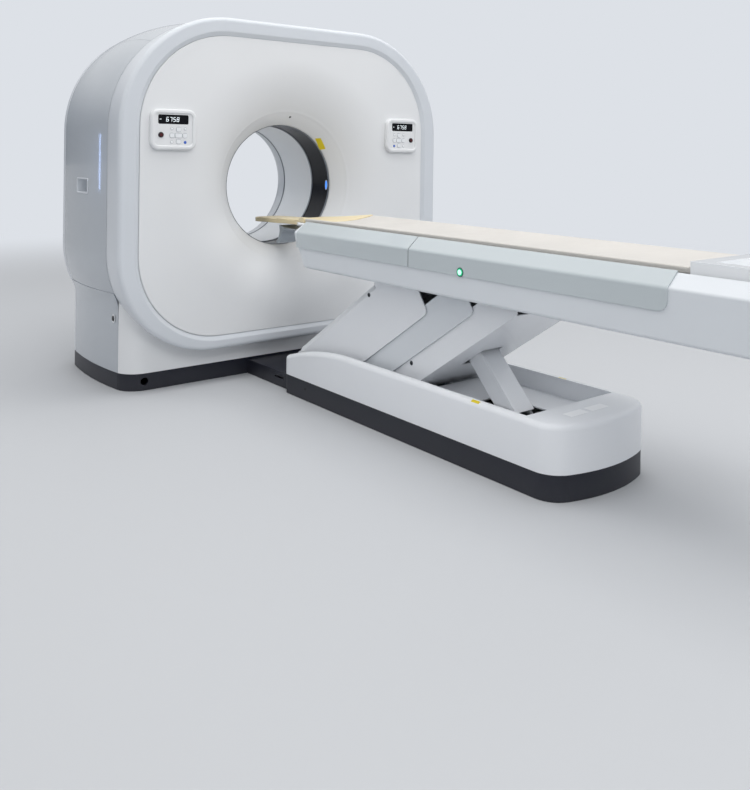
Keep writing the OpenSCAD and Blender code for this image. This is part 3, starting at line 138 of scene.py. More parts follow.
def finishOf(name, colour, rough, changes):
    # A moulded, painted or metal skin. Tone drifts by a few hundredths over half a metre, grain or
    # orange peel lies in the bump, roughness wanders a little, dust gathers low down
    look = {**plainLook, **changes}
    material, tree, place = newMaterial(name)
    ends = [shade(colour, 1 + way * look["drift"]) for way in (-1, 1)]
    tone = blotches(tree, place, 0.6, *ends, 2.0)
    if look["dust"]:
        tone = dusted(tree, place, tone, look["dust"])
    wander = blotches(tree, place, 0.25, grey(rough - 0.015), grey(rough + 0.015))
    peel = surfaceNoise(tree, place, look["grain"], 2.0)
    bump = bumpFrom(tree, peel, look["bump"], look["grainDepth"])
    settings = {socket: look[key] for socket, key in shaderInputs.items()}
    addShader(tree, settings, {"Base Color": tone, "Roughness": wander, "Normal": bump})
    return material


satinGrain = {"coatRough": 0.2, "grain": 0.0016, "bump": 0.25}
coverDust = {"dust": (0.08, 0.4, 0.07)}
# each finish: its colour, its roughness and what differs from the plain look
coverLooks = {
    # moulded ABS under clear lacquer: the big panels; 3 mm orange peel softens the reflections
    "lacqueredAbsWhite": ("#E7E8E9", 0.34, {"coat": 0.25, "coatRough": 0.15}),
    "lacqueredAbsCool": ("#D5D9DE", 0.30, {"coat": 0.4, "coatRough": 0.1, **coverDust}),
    "lacqueredAbsSide": ("#B4B9BF", 0.24, {"coat": 0.7, **coverDust}),
    # powder-coated sheet and moulded covers of the table: satin, scuffed and dusty low down
    "powderCoatPale": ("#EAECEF", 0.34, {"coat": 0.2, "dust": (0.08, 0.26, 0.08), **satinGrain}),
    "powderCoatGrey": ("#DBDFE3", 0.38, {"coat": 0.15, **satinGrain}),
    # translucent glossy ABS of the side bands: mirror-like, a trace of green
    "glossBandAbs": ("#C0C8CB", 0.16, {
        "coat": 1.0, "coatRough": 0.03, "drift": 0.02, "grain": 0.03, "grainDepth": 0.00012, "bump": 0.3,
    }),
    # textured polypropylene kick skirts: 1 mm leather grain, blue-black, dusty near the floor
    "grainedPolypropylene": ("#181A26", 0.42, {
        "drift": 0.05, "grain": 0.0012, "grainDepth": 0.00006, "bump": 0.5, "dust": (0.0, 0.08, 0.10),
    }),
    # frames and machinery inside: dull primer, paint with a fine peel, cast and ground metal
    "primedSteel": ("#6C7076", 0.45, {"drift": 0.06, "grain": 0.0015, "bump": 0.4}),
    "paintedSteelPale": ("#A9B0B7", 0.42, {"drift": 0.03, "grain": 0.0015, "bump": 0.3}),
    "castAluminium": ("#B4B6BA", 0.42, {
        "metal": 1.0, "drift": 0.08, "grain": 0.002, "grainDepth": 0.00006, "bump": 0.5,
    }),
    "groundSteel": ("#A9ABAF", 0.26, {"metal": 1.0, "drift": 0.05, "grain": 0.0008}),
    "enamelledCopper": ("#B5703F", 0.35, {"metal": 1.0, "drift": 0.1, "grain": 0.001}),
    "housingEnamel": ("#8F949B", 0.36, {"coat": 0.2, "drift": 0.05, "grain": 0.002}),
    # smoked acrylic ring in the bore: blue-black, low reflectance so that it stays dark
    "smokedAcrylic": ("#0F1119", 0.22, {"ior": 1.3, "drift": 0.05, "grain": 0.02}),
    # the bore's pale glass-fibre liner and its brushed trims
    "glassFibreLiner": ("#F2F5F8", 0.36, {"coat": 0.2, "coatRough": 0.15}),
    "satinAluminium": ("#8D9299", 0.3, {"metal": 1.0, "drift": 0.04, "grain": 0.0006}),
    # controls: fine-grained white keys, matt black buttons and locks
    "keyPolycarbonate": ("#EEF0F2", 0.35, {"coat": 0.2, "grain": 0.0005}),
    "blackSoftTouch": ("#17151A", 0.4, {"drift": 0.05, "grain": 0.0006}),
    # carbon sandwich shell under white gelcoat: smooth, glossy rim
    "gelcoatWhite": ("#F1F3F5", 0.24, {"coat": 0.6, "coatRough": 0.06}),
    # stickers, screws, black rubber and prints: small flat tones, a trace of gloss where they are coated;
    # the black rubber also serves as painted shade in the seams, the band's slits and the screw sockets
    "plainYellowVinyl": ("#E2CB12", 0.4, {"coat": 0.2, "drift": 0.04, "grain": 0.001}),
    "zincScrew": ("#55585D", 0.32, {"metal": 1.0, "drift": 0.08, "grain": 0.0005}),
    "blackRubberAndPaintedShade": ("#17181B", 0.6, {"drift": 0.05, "grain": 0.0008}),
    "greySilkPrint": ("#868E97", 0.4, {"grain": 0.001}),
    "paleSilkPrint": ("#C9CED4", 0.45, {"grain": 0.001}),
    "whiteSilkPrint": ("#FCFDFE", 0.5, {"grain": 0.001}),
    "bluePrint": ("#2E63C8", 0.35, {"coat": 0.2, "grain": 0.001}),
    "redPrint": ("#4F1418", 0.4, {"grain": 0.001}),
    # display window: near-black acrylic with a clear sheen
    "displayAcrylic": ("#0D0D11", 0.12, {"ior": 1.35, "coat": 0.3, "drift": 0.05, "grain": 0.02}),
    "darkGreenRing": ("#14463A", 0.3, {"coat": 0.3, "grain": 0.001}),
}
finish = {name: finishOf(name, *row) for name, row in coverLooks.items()}


def glowOf(name, hexColour, strength):
    # a lamp behind a moulded lens: plain colour and its own light
    material, tree, place = newMaterial(name)
    settings = {"Emission Color": linear(hexColour), "Emission Strength": strength, "Roughness": 0.3}
    tone = blotches(tree, place, 0.004, shade(hexColour, 0.92), linear(hexColour))
    addShader(tree, settings, {"Base Color": tone})
    return material


for name, hexColour, strength in (
    ("greenLens", "#1FAF7C", 0.5),
    ("greenLensCore", "#B4F7DC", 1.0),
    ("blueLens", "#3D86F0", 1.0),
    ("digitLight", "#E6EDF0", 0.6),
):
    finish[name] = glowOf(name, hexColour, strength)


def vinylOf(name, hexColour):
    # Coated upholstery vinyl: 1.4 mm leather grain from cells plus 3 cm creases, soft sheen, stains
    # that shift the tone by a few hundredths
    material, tree, place = newMaterial(name)
    cells = {"feature": "SMOOTH_F1", "Scale": 1 / 0.0014}
    grain = addNode(tree, "ShaderNodeTexVoronoi", cells, {"Vector": place}).outputs["Distance"]
    sums = {0: surfaceNoise(tree, place, 0.03, 4.0), 2: grain}
    both = addNode(tree, "ShaderNodeMath", {"operation": "MULTIPLY_ADD", 1: 0.3}, sums)
    bump = bumpFrom(tree, both.outputs[0], 0.25, 0.0002)
    tone = blotches(tree, place, 0.22, shade(hexColour, 0.975), shade(hexColour, 1.02))
    rough = blotches(tree, place, 0.05, grey(0.42), grey(0.5))
    sheen = {"Sheen Weight": 0.12, "Sheen Roughness": 0.4, "IOR": 1.45}
    addShader(tree, sheen, {"Base Color": tone, "Roughness": rough, "Normal": bump})
    return material


finish["creamVinyl"] = vinylOf("creamVinyl", "#CFCBC5")
finish["tanVinyl"] = vinylOf("tanVinyl", "#E3D3AC")
print("stage: materials")

# Helpers for pieces


def linked(name, data):
    # a new object in the scene
    item = bpy.data.objects.new(name, data)
    bpy.context.scene.collection.objects.link(item)
    return item


def addPiece(name, mesh, material, body, replaced=()):
    # wraps a mesh as a smooth-shaded piece that rides on a body and takes the place of CAD nodes
    mesh.name = name
    piece = linked(name, mesh)
    mesh.materials.clear()
    mesh.materials.append(material)
    mesh.polygons.foreach_set("use_smooth", np.ones(len(mesh.polygons), dtype=bool))
    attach(piece, body)
    if replaced:
        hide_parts(*replaced)
    return piece


def addSkin(node, mesh, look):
    # the skin that takes a CAD node's place
    return addPiece(f"{node}_skin", mesh, finish[look], bodyOf[node], [node])


def addMark(name, mesh, look, node, body=None):
    # a small piece of its own that goes with a node
    return addPiece(name, mesh, finish[look], body or bodyOf[node])


def coordinatesOf(mesh):
    # the points of a mesh, one row each
    co = np.empty(len(mesh.vertices) * 3)
    mesh.vertices.foreach_get("co", co)
    return co.reshape(-1, 3)


def evaluatedMesh(piece):
    # the mesh that the piece's modifiers give
    return bpy.data.meshes.new_from_object(piece.evaluated_get(bpy.context.evaluated_depsgraph_get()))


def meshFrom(bm):
    # an edited mesh as a mesh of its own
    mesh = bpy.data.meshes.new("mesh")
    bm.to_mesh(mesh)
    bm.free()
    return mesh


def gridMesh(points, closeCols=False, caps=False):
    # a mesh over a grid of points, rows by columns; neighbours in both directions make one quad,
    # and with caps the first and the last row are closed by one face each
    points = np.asarray(points)
    rows, cols = points.shape[:2]
    index = np.arange(rows * cols).reshape(rows, cols)
    if closeCols:
        index = np.hstack([index, index[:, :1]])
    corners = [index[:-1, :-1], index[:-1, 1:], index[1:, 1:], index[1:, :-1]]
    faces = np.stack(corners, -1).reshape(-1, 4).tolist()
    if caps:
        faces += [index[0, :cols][::-1].tolist(), index[-1, :cols].tolist()]
    mesh = bpy.data.meshes.new("grid")
    mesh.from_pydata(points.reshape(-1, 3), [], faces)
    mesh.update()
    return mesh


def fixNormals(mesh, dist=1e-5):
    # doubles merged, then faces turned outwards
    bm = bmesh.new()
    bm.from_mesh(mesh)
    bmesh.ops.remove_doubles(bm, verts=bm.verts, dist=dist)
    bmesh.ops.recalc_face_normals(bm, faces=bm.faces)
    bm.to_mesh(mesh)
    bm.free()
    return mesh


def faceTowards(mesh, direction):
    # turns all faces over when they look away from a direction, by the sum over their areas
    if sum(p.normal.dot(Vector(direction)) * p.area for p in mesh.polygons) < 0:
        mesh.flip_normals()
    return mesh


def joinMeshes(meshes, dist=2e-5):
    # several meshes as one; with a distance, doubles are merged and normals turned outwards
    bm = bmesh.new()
    for mesh in meshes:
        bm.from_mesh(mesh)
    if dist:
        bmesh.ops.remove_doubles(bm, verts=bm.verts, dist=dist)
        bmesh.ops.dissolve_degenerate(bm, edges=bm.edges, dist=1e-6)
        bmesh.ops.recalc_face_normals(bm, faces=bm.faces)
    return meshFrom(bm)


def mirrored(mesh):
    # the mesh in its mirror image about x = 0, faces turned to match
    other = mesh.copy()
    other.vertices.foreach_set("co", (coordinatesOf(mesh) * [-1, 1, 1]).ravel())
    other.flip_normals()
    return other


def flatWithHoles(loops):
    # triangles between an outer loop and the holes in it, which lie in one plane
    bm = bmesh.new()
    for loop in loops:
        verts = [bm.verts.new(p) for p in loop]
        for a, b in zip(verts, verts[1:] + verts[:1]):
            bm.edges.new((a, b))
    bmesh.ops.triangle_fill(bm, edges=bm.edges, use_beauty=True)
    return meshFrom(bm)


def flatShape(name, groups, look, node="front_panel", facing=(0, -1, 0)):
    # printed or glued-on flats: each group is an outer loop and its holes, as points in space
    mesh = joinMeshes([flatWithHoles(group) for group in groups], 0)
    return addMark(name, faceTowards(mesh, facing), look, node)


def addBevel(piece, width, segments=3, angle=35.0):
    # rounds edges sharper than the angle
    bevel = piece.modifiers.new("edgeRound", "BEVEL")
    bevel.width, bevel.segments, bevel.limit_method = width, segments, "ANGLE"
    bevel.angle_limit = math.radians(angle)
    bevel.use_clamp_overlap = True


def evenNormals(piece):
    # large faces set the shading, so flat areas stay flat beside their rounded edges
    even = piece.modifiers.new("evenNormals", "WEIGHTED_NORMAL")
    even.keep_sharp = True
    return piece


def thicken(piece, wall, bevel=0.0008, middle=(0, 0, 0.9)):
    # a wall behind the outer skin and small rounded edges; first the faces are turned away from a
    # point in the middle, by the sign of their normals times their way from it
    turned = sum(p.normal.dot(p.center - Vector(middle)) * p.area for p in piece.data.polygons)
    if turned < 0:
        piece.data.flip_normals()
    solid = piece.modifiers.new("wall", "SOLIDIFY")
    solid.thickness, solid.offset = wall, -1
    addBevel(piece, bevel, 2, 50)
    return evenNormals(piece)


def coverCopy(node, look, bevel=0.0015, segments=2, wide=None, angle=35.0):
    # The CAD node's triangles merged into one skin, its flat patches joined, its edges rounded.
    # wide = (rule, width): edges for which the rule holds get their own, larger rounding
    bm = bmesh.new()
    bm.from_mesh(nodes[node].data)
    bmesh.ops.remove_doubles(bm, verts=bm.verts, dist=2e-5)
    bmesh.ops.dissolve_limit(bm, angle_limit=math.radians(0.5), verts=bm.verts, edges=bm.edges)
    weight = bm.edges.layers.float.new("bevel_weight_edge") if wide else None
    for e in bm.edges:
        bend = e.calc_face_angle(0) if len(e.link_faces) == 2 else 0
        e.smooth = bend <= math.radians(angle)
        if wide and bend > math.radians(20) and wide[0](e):
            e[weight] = 1.0
    piece = addSkin(node, meshFrom(bm), look)
    if wide:
        large = piece.modifiers.new("wideRound", "BEVEL")
        large.width, large.segments, large.limit_method = wide[1], 8, "WEIGHT"
        large.use_clamp_overlap = False
    addBevel(piece, bevel, segments, angle)
    return evenNormals(piece)


def arcPoints(centre, radius, start, end, steps):
    # points of an arc in a plane, angles in degrees
    a = np.radians(np.linspace(start, end, steps + 1))
    return np.stack([centre[0] + radius * np.cos(a), centre[1] + radius * np.sin(a)], -1)


def atDepth(flat, y):
    # points drawn in x and z, put at a depth y
    return np.stack([flat[:, 0], np.full(len(flat), y), flat[:, 1]], -1)


def roundedOutline(halfWidth, low, high, topRadius, lowRadius, arcSteps=24, sideSteps=8):
    # Points and outward normals round a rectangle with rounded corners, from the middle of the
    # bottom edge to the right and round; every outline with the same steps matches point for point
    corners = [
        ((halfWidth - lowRadius, low + lowRadius), lowRadius, -90),
        ((halfWidth - topRadius, high - topRadius), topRadius, 0),
        ((topRadius - halfWidth, high - topRadius), topRadius, 90),
        ((lowRadius - halfWidth, low + lowRadius), lowRadius, 180),
    ]
    arcs = []
    for centre, r, start in corners:
        direction = arcPoints((0, 0), 1, start, start + 90, arcSteps)
        arcs.append((np.array(centre) + r * direction, direction))
    t = np.linspace(0, 1, sideSteps + 1)[1:-1, None]
    points, normals = [], []
    for k in range(4):
        points += [arcs[k - 1][0][-1] * (1 - t) + arcs[k][0][0] * t, arcs[k][0]]
        normals += [np.repeat(arcs[k][1][:1], sideSteps - 1, 0), arcs[k][1]]
    shift = (sideSteps - 1) // 2
    return np.roll(np.vstack(points), -shift, 0), np.roll(np.vstack(normals), -shift, 0)


def ringAt(outline, offset, y):
    # the outline moved outwards by offset, at a depth y
    return atDepth(outline[0] + outline[1] * offset, y)


def softSquare(centreX, centreZ, width, height, radius, steps=6):
    # points and outward normals of a rounded rectangle about a centre
    points, normals = roundedOutline(width / 2, -height / 2, height / 2, radius, radius, steps, 2)
    return points + [centreX, centreZ], normals


# Gantry covers

gantry = {
    "halfWidth": 1.040, "bottom": 0.183, "top": 1.962, "topRadius": 0.610, "lowRadius": 0.530,
    "faceY": -0.475, "seamY": -0.280, "rearSeamY": 0.350, "round": 0.024, "iso": 1.048, "bore": 0.350,
    "recess": 0.012, "funnel": 0.720, "beadAngle": 39.0, "beadWidth": 0.9, "beadHeight": 0.0016,
    "crown": 0.010, "sideRadius": 2.400, "sideMid": 0.050, "seam": 0.0018, "wall": 0.006,
}
outlineSizes = [gantry[key] for key in ("halfWidth", "bottom", "top", "topRadius", "lowRadius")]
outerOutline = roundedOutline(*outlineSizes)
panelOutline = roundedOutline(0.930, 0.256, 1.862, 0.500, 0.450)
panelY = gantry["faceY"] + gantry["recess"]
funnelWidth, funnelDepth = gantry["funnel"] - gantry["bore"], gantry["seamY"] - panelY
funnelArc = (funnelWidth**2 + funnelDepth**2) / (2 * funnelDepth)
wordOf = {-1: "left", 1: "right"}


def crownAt(y):
    # the side covers' slight barrel: an arc of large radius about the middle of their depth
    radius, away = gantry["sideRadius"], y - gantry["sideMid"]
    return gantry["crown"] - radius + np.sqrt(radius**2 - away**2)


def makeBezel():
    # Rings from the seam forward along the side, round the front edge by an arc, flat across the
    # face, and down a slanted strip at the inner edge to behind the panel. Close pairs of rings
    # keep the flat parts flat in the shading
    face, r = gantry["faceY"], gantry["round"]
    crown = crownAt(gantry["seamY"])
    y0 = gantry["seamY"] - gantry["seam"] / 2
    outer = [(crown - 0.006, y0 + 0.0003), (crown - 0.001, y0), (crown, y0 - 0.001)]
    outer += [(crown * (1 - t) ** 1.5, y0 + (face + r - y0) * t) for t in np.linspace(0.15, 0.96, 6)]
    outer += [*arcPoints((-r, face + r), r, 0, -90, 10), (-r - 0.004, face)]
    inner = [(0.028, face), (0.024, face), (0.0225, face + 0.0005), (0.0205, face + 0.0018)]
    inner += [(0.003, face + 0.0148), (0.0006, face + 0.016), (0.0004, face + 0.024)]
    rings = [ringAt(outerOutline, d, y) for d, y in outer] + [ringAt(panelOutline, d, y) for d, y in inner]
    addSkin("front_bezel", fixNormals(gridMesh(rings, closeCols=True)), "lacqueredAbsCool")


def makePanel():
    # The flat of the panel runs from its outline to the funnel's circle; then rings follow the
    # funnel's arc down to the bore, with a faint bead round the mouth: radius plus a bell curve
    ways = panelOutline[0] - [0, gantry["iso"]]
    circle = ways / np.linalg.norm(ways, axis=1, keepdims=True)

    def circleRing(radius, y):
        return atDepth(circle * radius + [0, gantry["iso"]], y)

    rings = [ringAt(panelOutline, -0.0003, panelY + d) for d in (0.010, 0.001, 0)]
    edge = circleRing(gantry["funnel"], panelY)
    rings += [rings[2] * (1 - t) + edge * t for t in (0.02, 0.12, 0.4, 0.75)]
    for a in np.linspace(0, math.degrees(math.asin(funnelWidth / funnelArc)), 73):
        bell = math.exp(-(((a - gantry["beadAngle"]) / gantry["beadWidth"]) ** 2))
        reach, turn = funnelArc + gantry["beadHeight"] * bell, math.radians(a)
        radius = gantry["funnel"] - reach * math.sin(turn)
        rings.append(circleRing(radius, panelY + funnelArc - reach * math.cos(turn)))
    lip = ((0.0008, 0.0002), (0.006, 0))
    rings += [circleRing(gantry["bore"] + d, gantry["seamY"] - back) for d, back in lip]
    addSkin("front_panel", fixNormals(gridMesh(rings, closeCols=True)), "lacqueredAbsWhite")


side = {
    "seamZ": 0.500, "seamHalf": 0.0008, "topHalf": 0.800, "topGap": 0.0004, "lowHalf": 0.984,
    "lowRadius": 2.200, "lowCorner": 0.120, "frontY": -0.370, "backY": 0.470,
    "blend": 0.018, "lowZ": 0.0888,
}
coverYs = np.linspace(gantry["seamY"] + gantry["seam"] / 2, gantry["rearSeamY"] - gantry["seam"] / 2, 31)


def cornerX(faceY, direction):
    # where the lower body's round corner starts: its centre lies a corner radius inside the crowned side
    cy = faceY - direction * side["lowCorner"]
    reach = math.sqrt((side["lowRadius"] - side["lowCorner"]) ** 2 - (cy - gantry["sideMid"]) ** 2)
    return side["lowHalf"] - side["lowRadius"] + reach, cy


def lowHalfWidth(y):
    # crowned side of the lower body, with the circle of its rounded corners towards front and back
    radius = side["lowRadius"]
    result = side["lowHalf"] - radius + math.sqrt(radius**2 - (y - gantry["sideMid"]) ** 2)
    for faceY, direction in ((side["frontY"], -1), (side["backY"], 1)):
        cx, cy = cornerX(faceY, direction)
        if (y - cy) * direction > 0:
            result = cx + math.sqrt(max(side["lowCorner"] ** 2 - (y - cy) ** 2, 0))
    return result


def outlineX(z, offset):
    # half width of the outline's lower part at heights z, moved outwards by offset: straight above
    # the corner's centre, the corner's circle below it, nothing below the circle
    centre, radius = gantry["bottom"] + gantry["lowRadius"], gantry["lowRadius"] + offset
    drop = np.maximum(centre - z, 0)
    curved = np.sqrt(np.maximum(radius**2 - drop**2, 0)) + gantry["halfWidth"] - gantry["lowRadius"]
    return np.where(drop < radius, curved, 0)


def outlineColumns(limitsAt, count):
    # columns of constant depth, each the outline pushed out by the crown and run between two lengths
    points, normals = roundedOutline(*outlineSizes, 40, 30)
    length = np.concatenate([[0], np.cumsum(np.linalg.norm(np.diff(points, axis=0), axis=1))])
    columns = []
    for y in coverYs:
        moved = points + normals * crownAt(y)
        t = np.linspace(*limitsAt(moved, length), count)
        columns.append(atDepth(np.stack([np.interp(t, length, moved[:, k]) for k in (0, 1)], -1), y))
    return np.array(columns)


def addShell(node, points, look="lacqueredAbsSide"):
    # a gantry cover over a grid of points, with its wall
    return thicken(addSkin(node, gridMesh(points), look), gantry["wall"])


def makeUpperSide(sign):
    # from the level seam up the side and over the shoulder to the top cover's seam
    def limits(moved, length):
        rising = (moved[:, 0] > 0.2) & (moved[:, 1] < 1.5)
        onTop = (moved[:, 1] > 1.6) & (moved[:, 0] > 0.2)
        first = np.interp(side["seamZ"] + side["seamHalf"], moved[rising][:, 1], length[rising])
        return first, np.interp(-(side["topHalf"] + side["topGap"]), -moved[onTop][:, 0], length[onTop])

    return addShell(f"side_cover_{wordOf[sign]}", outlineColumns(limits, 110) * [sign, 1, 1])


def makeTop():
    # the strip over the top between the two side covers
    def limits(moved, length):
        onTop = moved[:, 1] > 1.6
        ends = np.array([-1, 1]) * (side["topHalf"] - side["topGap"])
        return np.interp(ends, -moved[onTop][:, 0], length[onTop])

    addShell("top_cover", outlineColumns(limits, 90))


def makeLowerSide(sign):
    # At each depth and height the half width is the larger of the lower body's and the upper
    # outline's; half the sum plus half the root of their squared difference and a small square blends
    z = np.linspace(side["lowZ"], side["seamZ"] - side["seamHalf"], 60)
    rows = []
    for y in coverYs:
        low, high = lowHalfWidth(y), outlineX(z, crownAt(y))
        x = 0.5 * (low + high + np.sqrt((low - high) ** 2 + side["blend"] ** 2))
        rows.append(atDepth(np.stack([sign * (x - x[0] + low), z], -1), y))
    addShell(f"lower_side_cover_{wordOf[sign]}", rows)


def makeLowerFront():
    # The lower body's plan from one seam round the corners to the other, drawn up from the skirt to
    # just behind the bezel
    r = side["lowCorner"]
    cx, cy = cornerX(side["frontY"], -1)
    endAngle = math.degrees(math.asin((gantry["seamY"] - gantry["seam"] / 2 - cy) / r))
    right = arcPoints((cx, cy), r, -90, endAngle, 18)
    middle = np.stack([np.linspace(-cx, cx, 60), np.full(60, side["frontY"])], -1)
    plan = np.vstack([right[::-1][:-1] * [-1, 1], middle, right[1:]])
    lowEdge = outerOutline[0][:33]
    top = np.interp(np.abs(plan[:, 0]), lowEdge[:, 0], lowEdge[:, 1]) + 0.06
    z = side["lowZ"] + (top[None, :] - side["lowZ"]) * np.linspace(0, 1, 30)[:, None]
    points = np.stack([np.repeat(plan[None, :, k], 30, 0) for k in (0, 1)] + [z], -1)
    addShell("lower_front_cover", points, "lacqueredAbsWhite")


grip = {"y": 0.019, "z": 1.049, "half": (0.083, 0.042), "front": 1.0515, "depth": 0.058, "rim": 0.008}


def cutGrip(piece, sign):
    # a hole in the side cover for the grip's cup; the cover's modifiers are applied with it
    wide, high = (h - 0.002 for h in grip["half"])
    corners = ((-wide, -high), (wide, -high), (wide, high), (-wide, high))
    points = [[(sign * x, grip["y"] + a, grip["z"] + b) for a, b in corners] for x in (0.97, 1.09)]
    tool = linked("gripCut", fixNormals(gridMesh(points, closeCols=True, caps=True)))
    cut = piece.modifiers.new("gripHole", "BOOLEAN")
    cut.object, cut.operation, cut.solver = tool, "DIFFERENCE", "EXACT"
    piece.modifiers.move(len(piece.modifiers) - 1, 1)
    bpy.context.view_layer.update()
    solid = evaluatedMesh(piece)
    piece.modifiers.clear()
    piece.data = solid
    bpy.data.objects.remove(tool)


def makeGrip(sign):
    # Rings of rounded squares: the frame's outer side, its rounded front, then the cup down to its
    # bottom, which the last ring closes
    wide, high = grip["half"]
    front, rim, back = grip["front"], grip["rim"], grip["front"] - grip["depth"]
    profile = [(0, front - 0.020), (0, front - 0.002), (0.0006, front - 0.0006), (0.002, front)]
    profile += [(rim - 0.002, front), (rim - 0.0006, front - 0.0006), (rim, front - 0.002)]
    profile += [(rim + 0.003, back + 0.006), (rim + 0.005, back + 0.002), (rim + 0.009, back)]
    profile.append((high - 0.001, back))
    rings = []
    for inset, x in profile:
        radius = max(0.012 - inset, 0.0005)
        points = softSquare(grip["y"], grip["z"], 2 * (wide - inset), 2 * (high - inset), radius)[0]
        rings.append(np.insert(points, 0, x * sign, axis=1))
    bm = bmesh.new()
    bm.from_mesh(gridMesh(rings, closeCols=True))
    bottom = [e for e in bm.edges if e.is_boundary and abs(e.verts[0].co.x) < front - 0.05]
    bmesh.ops.holes_fill(bm, edges=bottom)
    bmesh.ops.recalc_face_normals(bm, faces=bm.faces)
    mesh = faceTowards(meshFrom(bm), (sign, 0, 0))
    addMark(f"grip_{wordOf[sign]}", mesh, "lacqueredAbsCool", "side_cover_left")


makeBezel()
makePanel()
for sign in (-1, 1):
    cutGrip(makeUpperSide(sign), sign)
    makeGrip(sign)
    makeLowerSide(sign)
makeTop()
makeLowerFront()


def seamShade(name, lines):
    # painted shade: a dark strip a few millimetres behind a seam, standing in for the shade in its gap,
    # between two lines of points
    addMark(name, gridMesh(lines), "blackRubberAndPaintedShade", "gantry_skirt_front")


# painted shade in the seams: dark strips behind the bezel's seam, the lower covers' front seams and the
# level seam along each side
seamEnds = (gantry["seamY"] - 0.005, gantry["seamY"] + 0.005)
heights = np.linspace(0.090, 0.5, 12)
behind = [ringAt(outerOutline, crownAt(y) - 0.0042, y) for y in seamEnds]
seamShade("bezel_seam_shade", [np.vstack([ring, ring[:1]]) for ring in behind])
for sign in (-1, 1):
    x = sign * (lowHalfWidth(gantry["seamY"]) - 0.0045)
    seamShade(f"low_seam_shade_{sign + 1}", [[(x, y, z) for z in heights] for y in seamEnds])
    flank = [(sign * (lowHalfWidth(y) - 0.0045), y) for y in coverYs]
    seamShade(f"side_seam_shade_{sign + 1}", [[(x, y, z) for x, y in flank] for z in (0.494, 0.506)])
coverCopy("rear_cover", "lacqueredAbsCool", 0.002, angle=40)
coverCopy("gantry_skirt_front", "grainedPolypropylene", 0.003)
coverCopy("gantry_skirt_rear", "grainedPolypropylene", 0.003)
print("stage: gantry covers")

# Control pods

pod = {
    "x": 0.758, "z": 1.350, "w": 0.250, "h": 0.210, "d": 0.026, "r": 0.045, "back": -0.4632, "edge": 0.011,
    "face": -0.4822, "faceW": 0.204, "faceH": 0.164, "faceR": 0.020, "keyH": 0.022,
    "keys": ((0, 0.031, 0.024), (0, -0.031, 0.024), (-0.035, 0, 0.024), (0.035, 0, 0.024), (0, 0, 0.038)),
    "cross": (0.026, -0.030), "stop": (-0.070, -0.028), "stopR": 0.014,
    "display": (-0.002, 0.052, 0.165, 0.048), "dot": (0.037, 0.035, 0.007),
}
crossX, crossZ = pod["cross"]
keyPlaces = [(crossX + x, crossZ + z, width) for x, z, width in pod["keys"]]


def circleLoop(x, z, r, steps=28):
    # points round a circle in the pod's plane
    return arcPoints((x, z), r, 0, 360 * (steps - 1) / steps, steps - 1)


def onPod(points, y, sign):
    # points drawn in the pod's plane, with x towards the gantry's middle, put at a depth y
    return atDepth(points * [-sign, 1] + [sign * pod["x"], pod["z"]], y)


def makePod(sign):
    # Rings from the panel out over the rounded rim and down to the recessed face, which is a flat
    # with holes for the display, the stop button and the keys; short walls stand in the holes
    front, e = pod["back"] - pod["d"], pod["edge"]
    base = softSquare(0, 0, pod["w"], pod["h"], pod["r"], 12)
    inner = softSquare(0, 0, pod["faceW"], pod["faceH"], pod["faceR"], 12)
    rings = [(base, 0, pod["back"]), (base, 0, front + e + 0.004)]
    rings += [(base, d, y) for d, y in arcPoints((-e, front + e), e, 0, -90, 7)]
    rings += [(inner, d, y) for d, y in arcPoints((0.0055, front + 0.005), 0.005, -90, -170, 6)]
    rings += [(inner, 0.0004, pod["face"] - 0.0008), (inner, 0, pod["face"])]
    points = [onPod(line[0] + line[1] * d, y, sign) for line, d, y in rings]
    x, z, w, h = pod["display"]
    holes = [softSquare(x, z, w + 0.0006, h + 0.0006, 0.008)[0]]
    holes.append(circleLoop(*pod["stop"], pod["stopR"] + 0.0005))
    holes += [softSquare(x, z, w + 0.001, pod["keyH"] + 0.001, 0.0075, 5)[0] for x, z, w in keyPlaces]
    flat = flatWithHoles([onPod(loop, pod["face"], sign) for loop in [inner[0]] + holes])
    parts = [gridMesh(points, closeCols=True), flat]
    for loop in holes:
        parts.append(gridMesh([onPod(loop, pod["face"] + d, sign) for d in (0, 0.007)], closeCols=True))
    mesh = faceTowards(joinMeshes(parts), (0, -1, 0))
    piece = addSkin(f"pod_{wordOf[sign]}", mesh, "lacqueredAbsWhite")
    piece.modifiers.new("sharpFace", "EDGE_SPLIT").split_angle = math.radians(50)
    evenNormals(piece)


segments = {"5": "afgcd", "6": "afgedc", "7": "abc", "8": "abcdefg", "-": "g"}
bars = {
    "a": (0, 1, 1, 1), "b": (1, 0.5, 1, 1), "c": (1, 0, 1, 0.5), "d": (0, 0, 1, 0), "e": (0, 0, 0, 0.5),
    "f": (0, 0.5, 0, 1), "g": (0, 0.5, 1, 0.5),
}
digit = {"width": 0.0105, "height": 0.021, "pitch": 0.019, "thick": 0.0026, "lean": 0.12}


def digitBars(text, shift):
    # seven-segment digits about a middle, as leaning rectangles: each bar joins two corners of its cell
    loops = []
    size, thick = np.array([digit["width"], digit["height"]]), digit["thick"]
    for i, figure in enumerate(text):
        start = np.array([(i - (len(text) - 1) / 2) * digit["pitch"], 0]) - size / 2
        for bar in segments[figure]:
            ax, az, bx, bz = bars[bar]
            trim = np.array([0, thick * 0.55]) if ax == bx else np.array([thick * 0.55, 0])
            a = start + size * (ax, az) - thick / 2 + trim
            b = start + size * (bx, bz) + thick / 2 - trim
            corners = (a, (b[0], a[1]), b, (a[0], b[1]))
            loops.append([(x + shift + digit["lean"] * z, z) for x, z in corners])
    return [np.array(loop) for loop in loops]


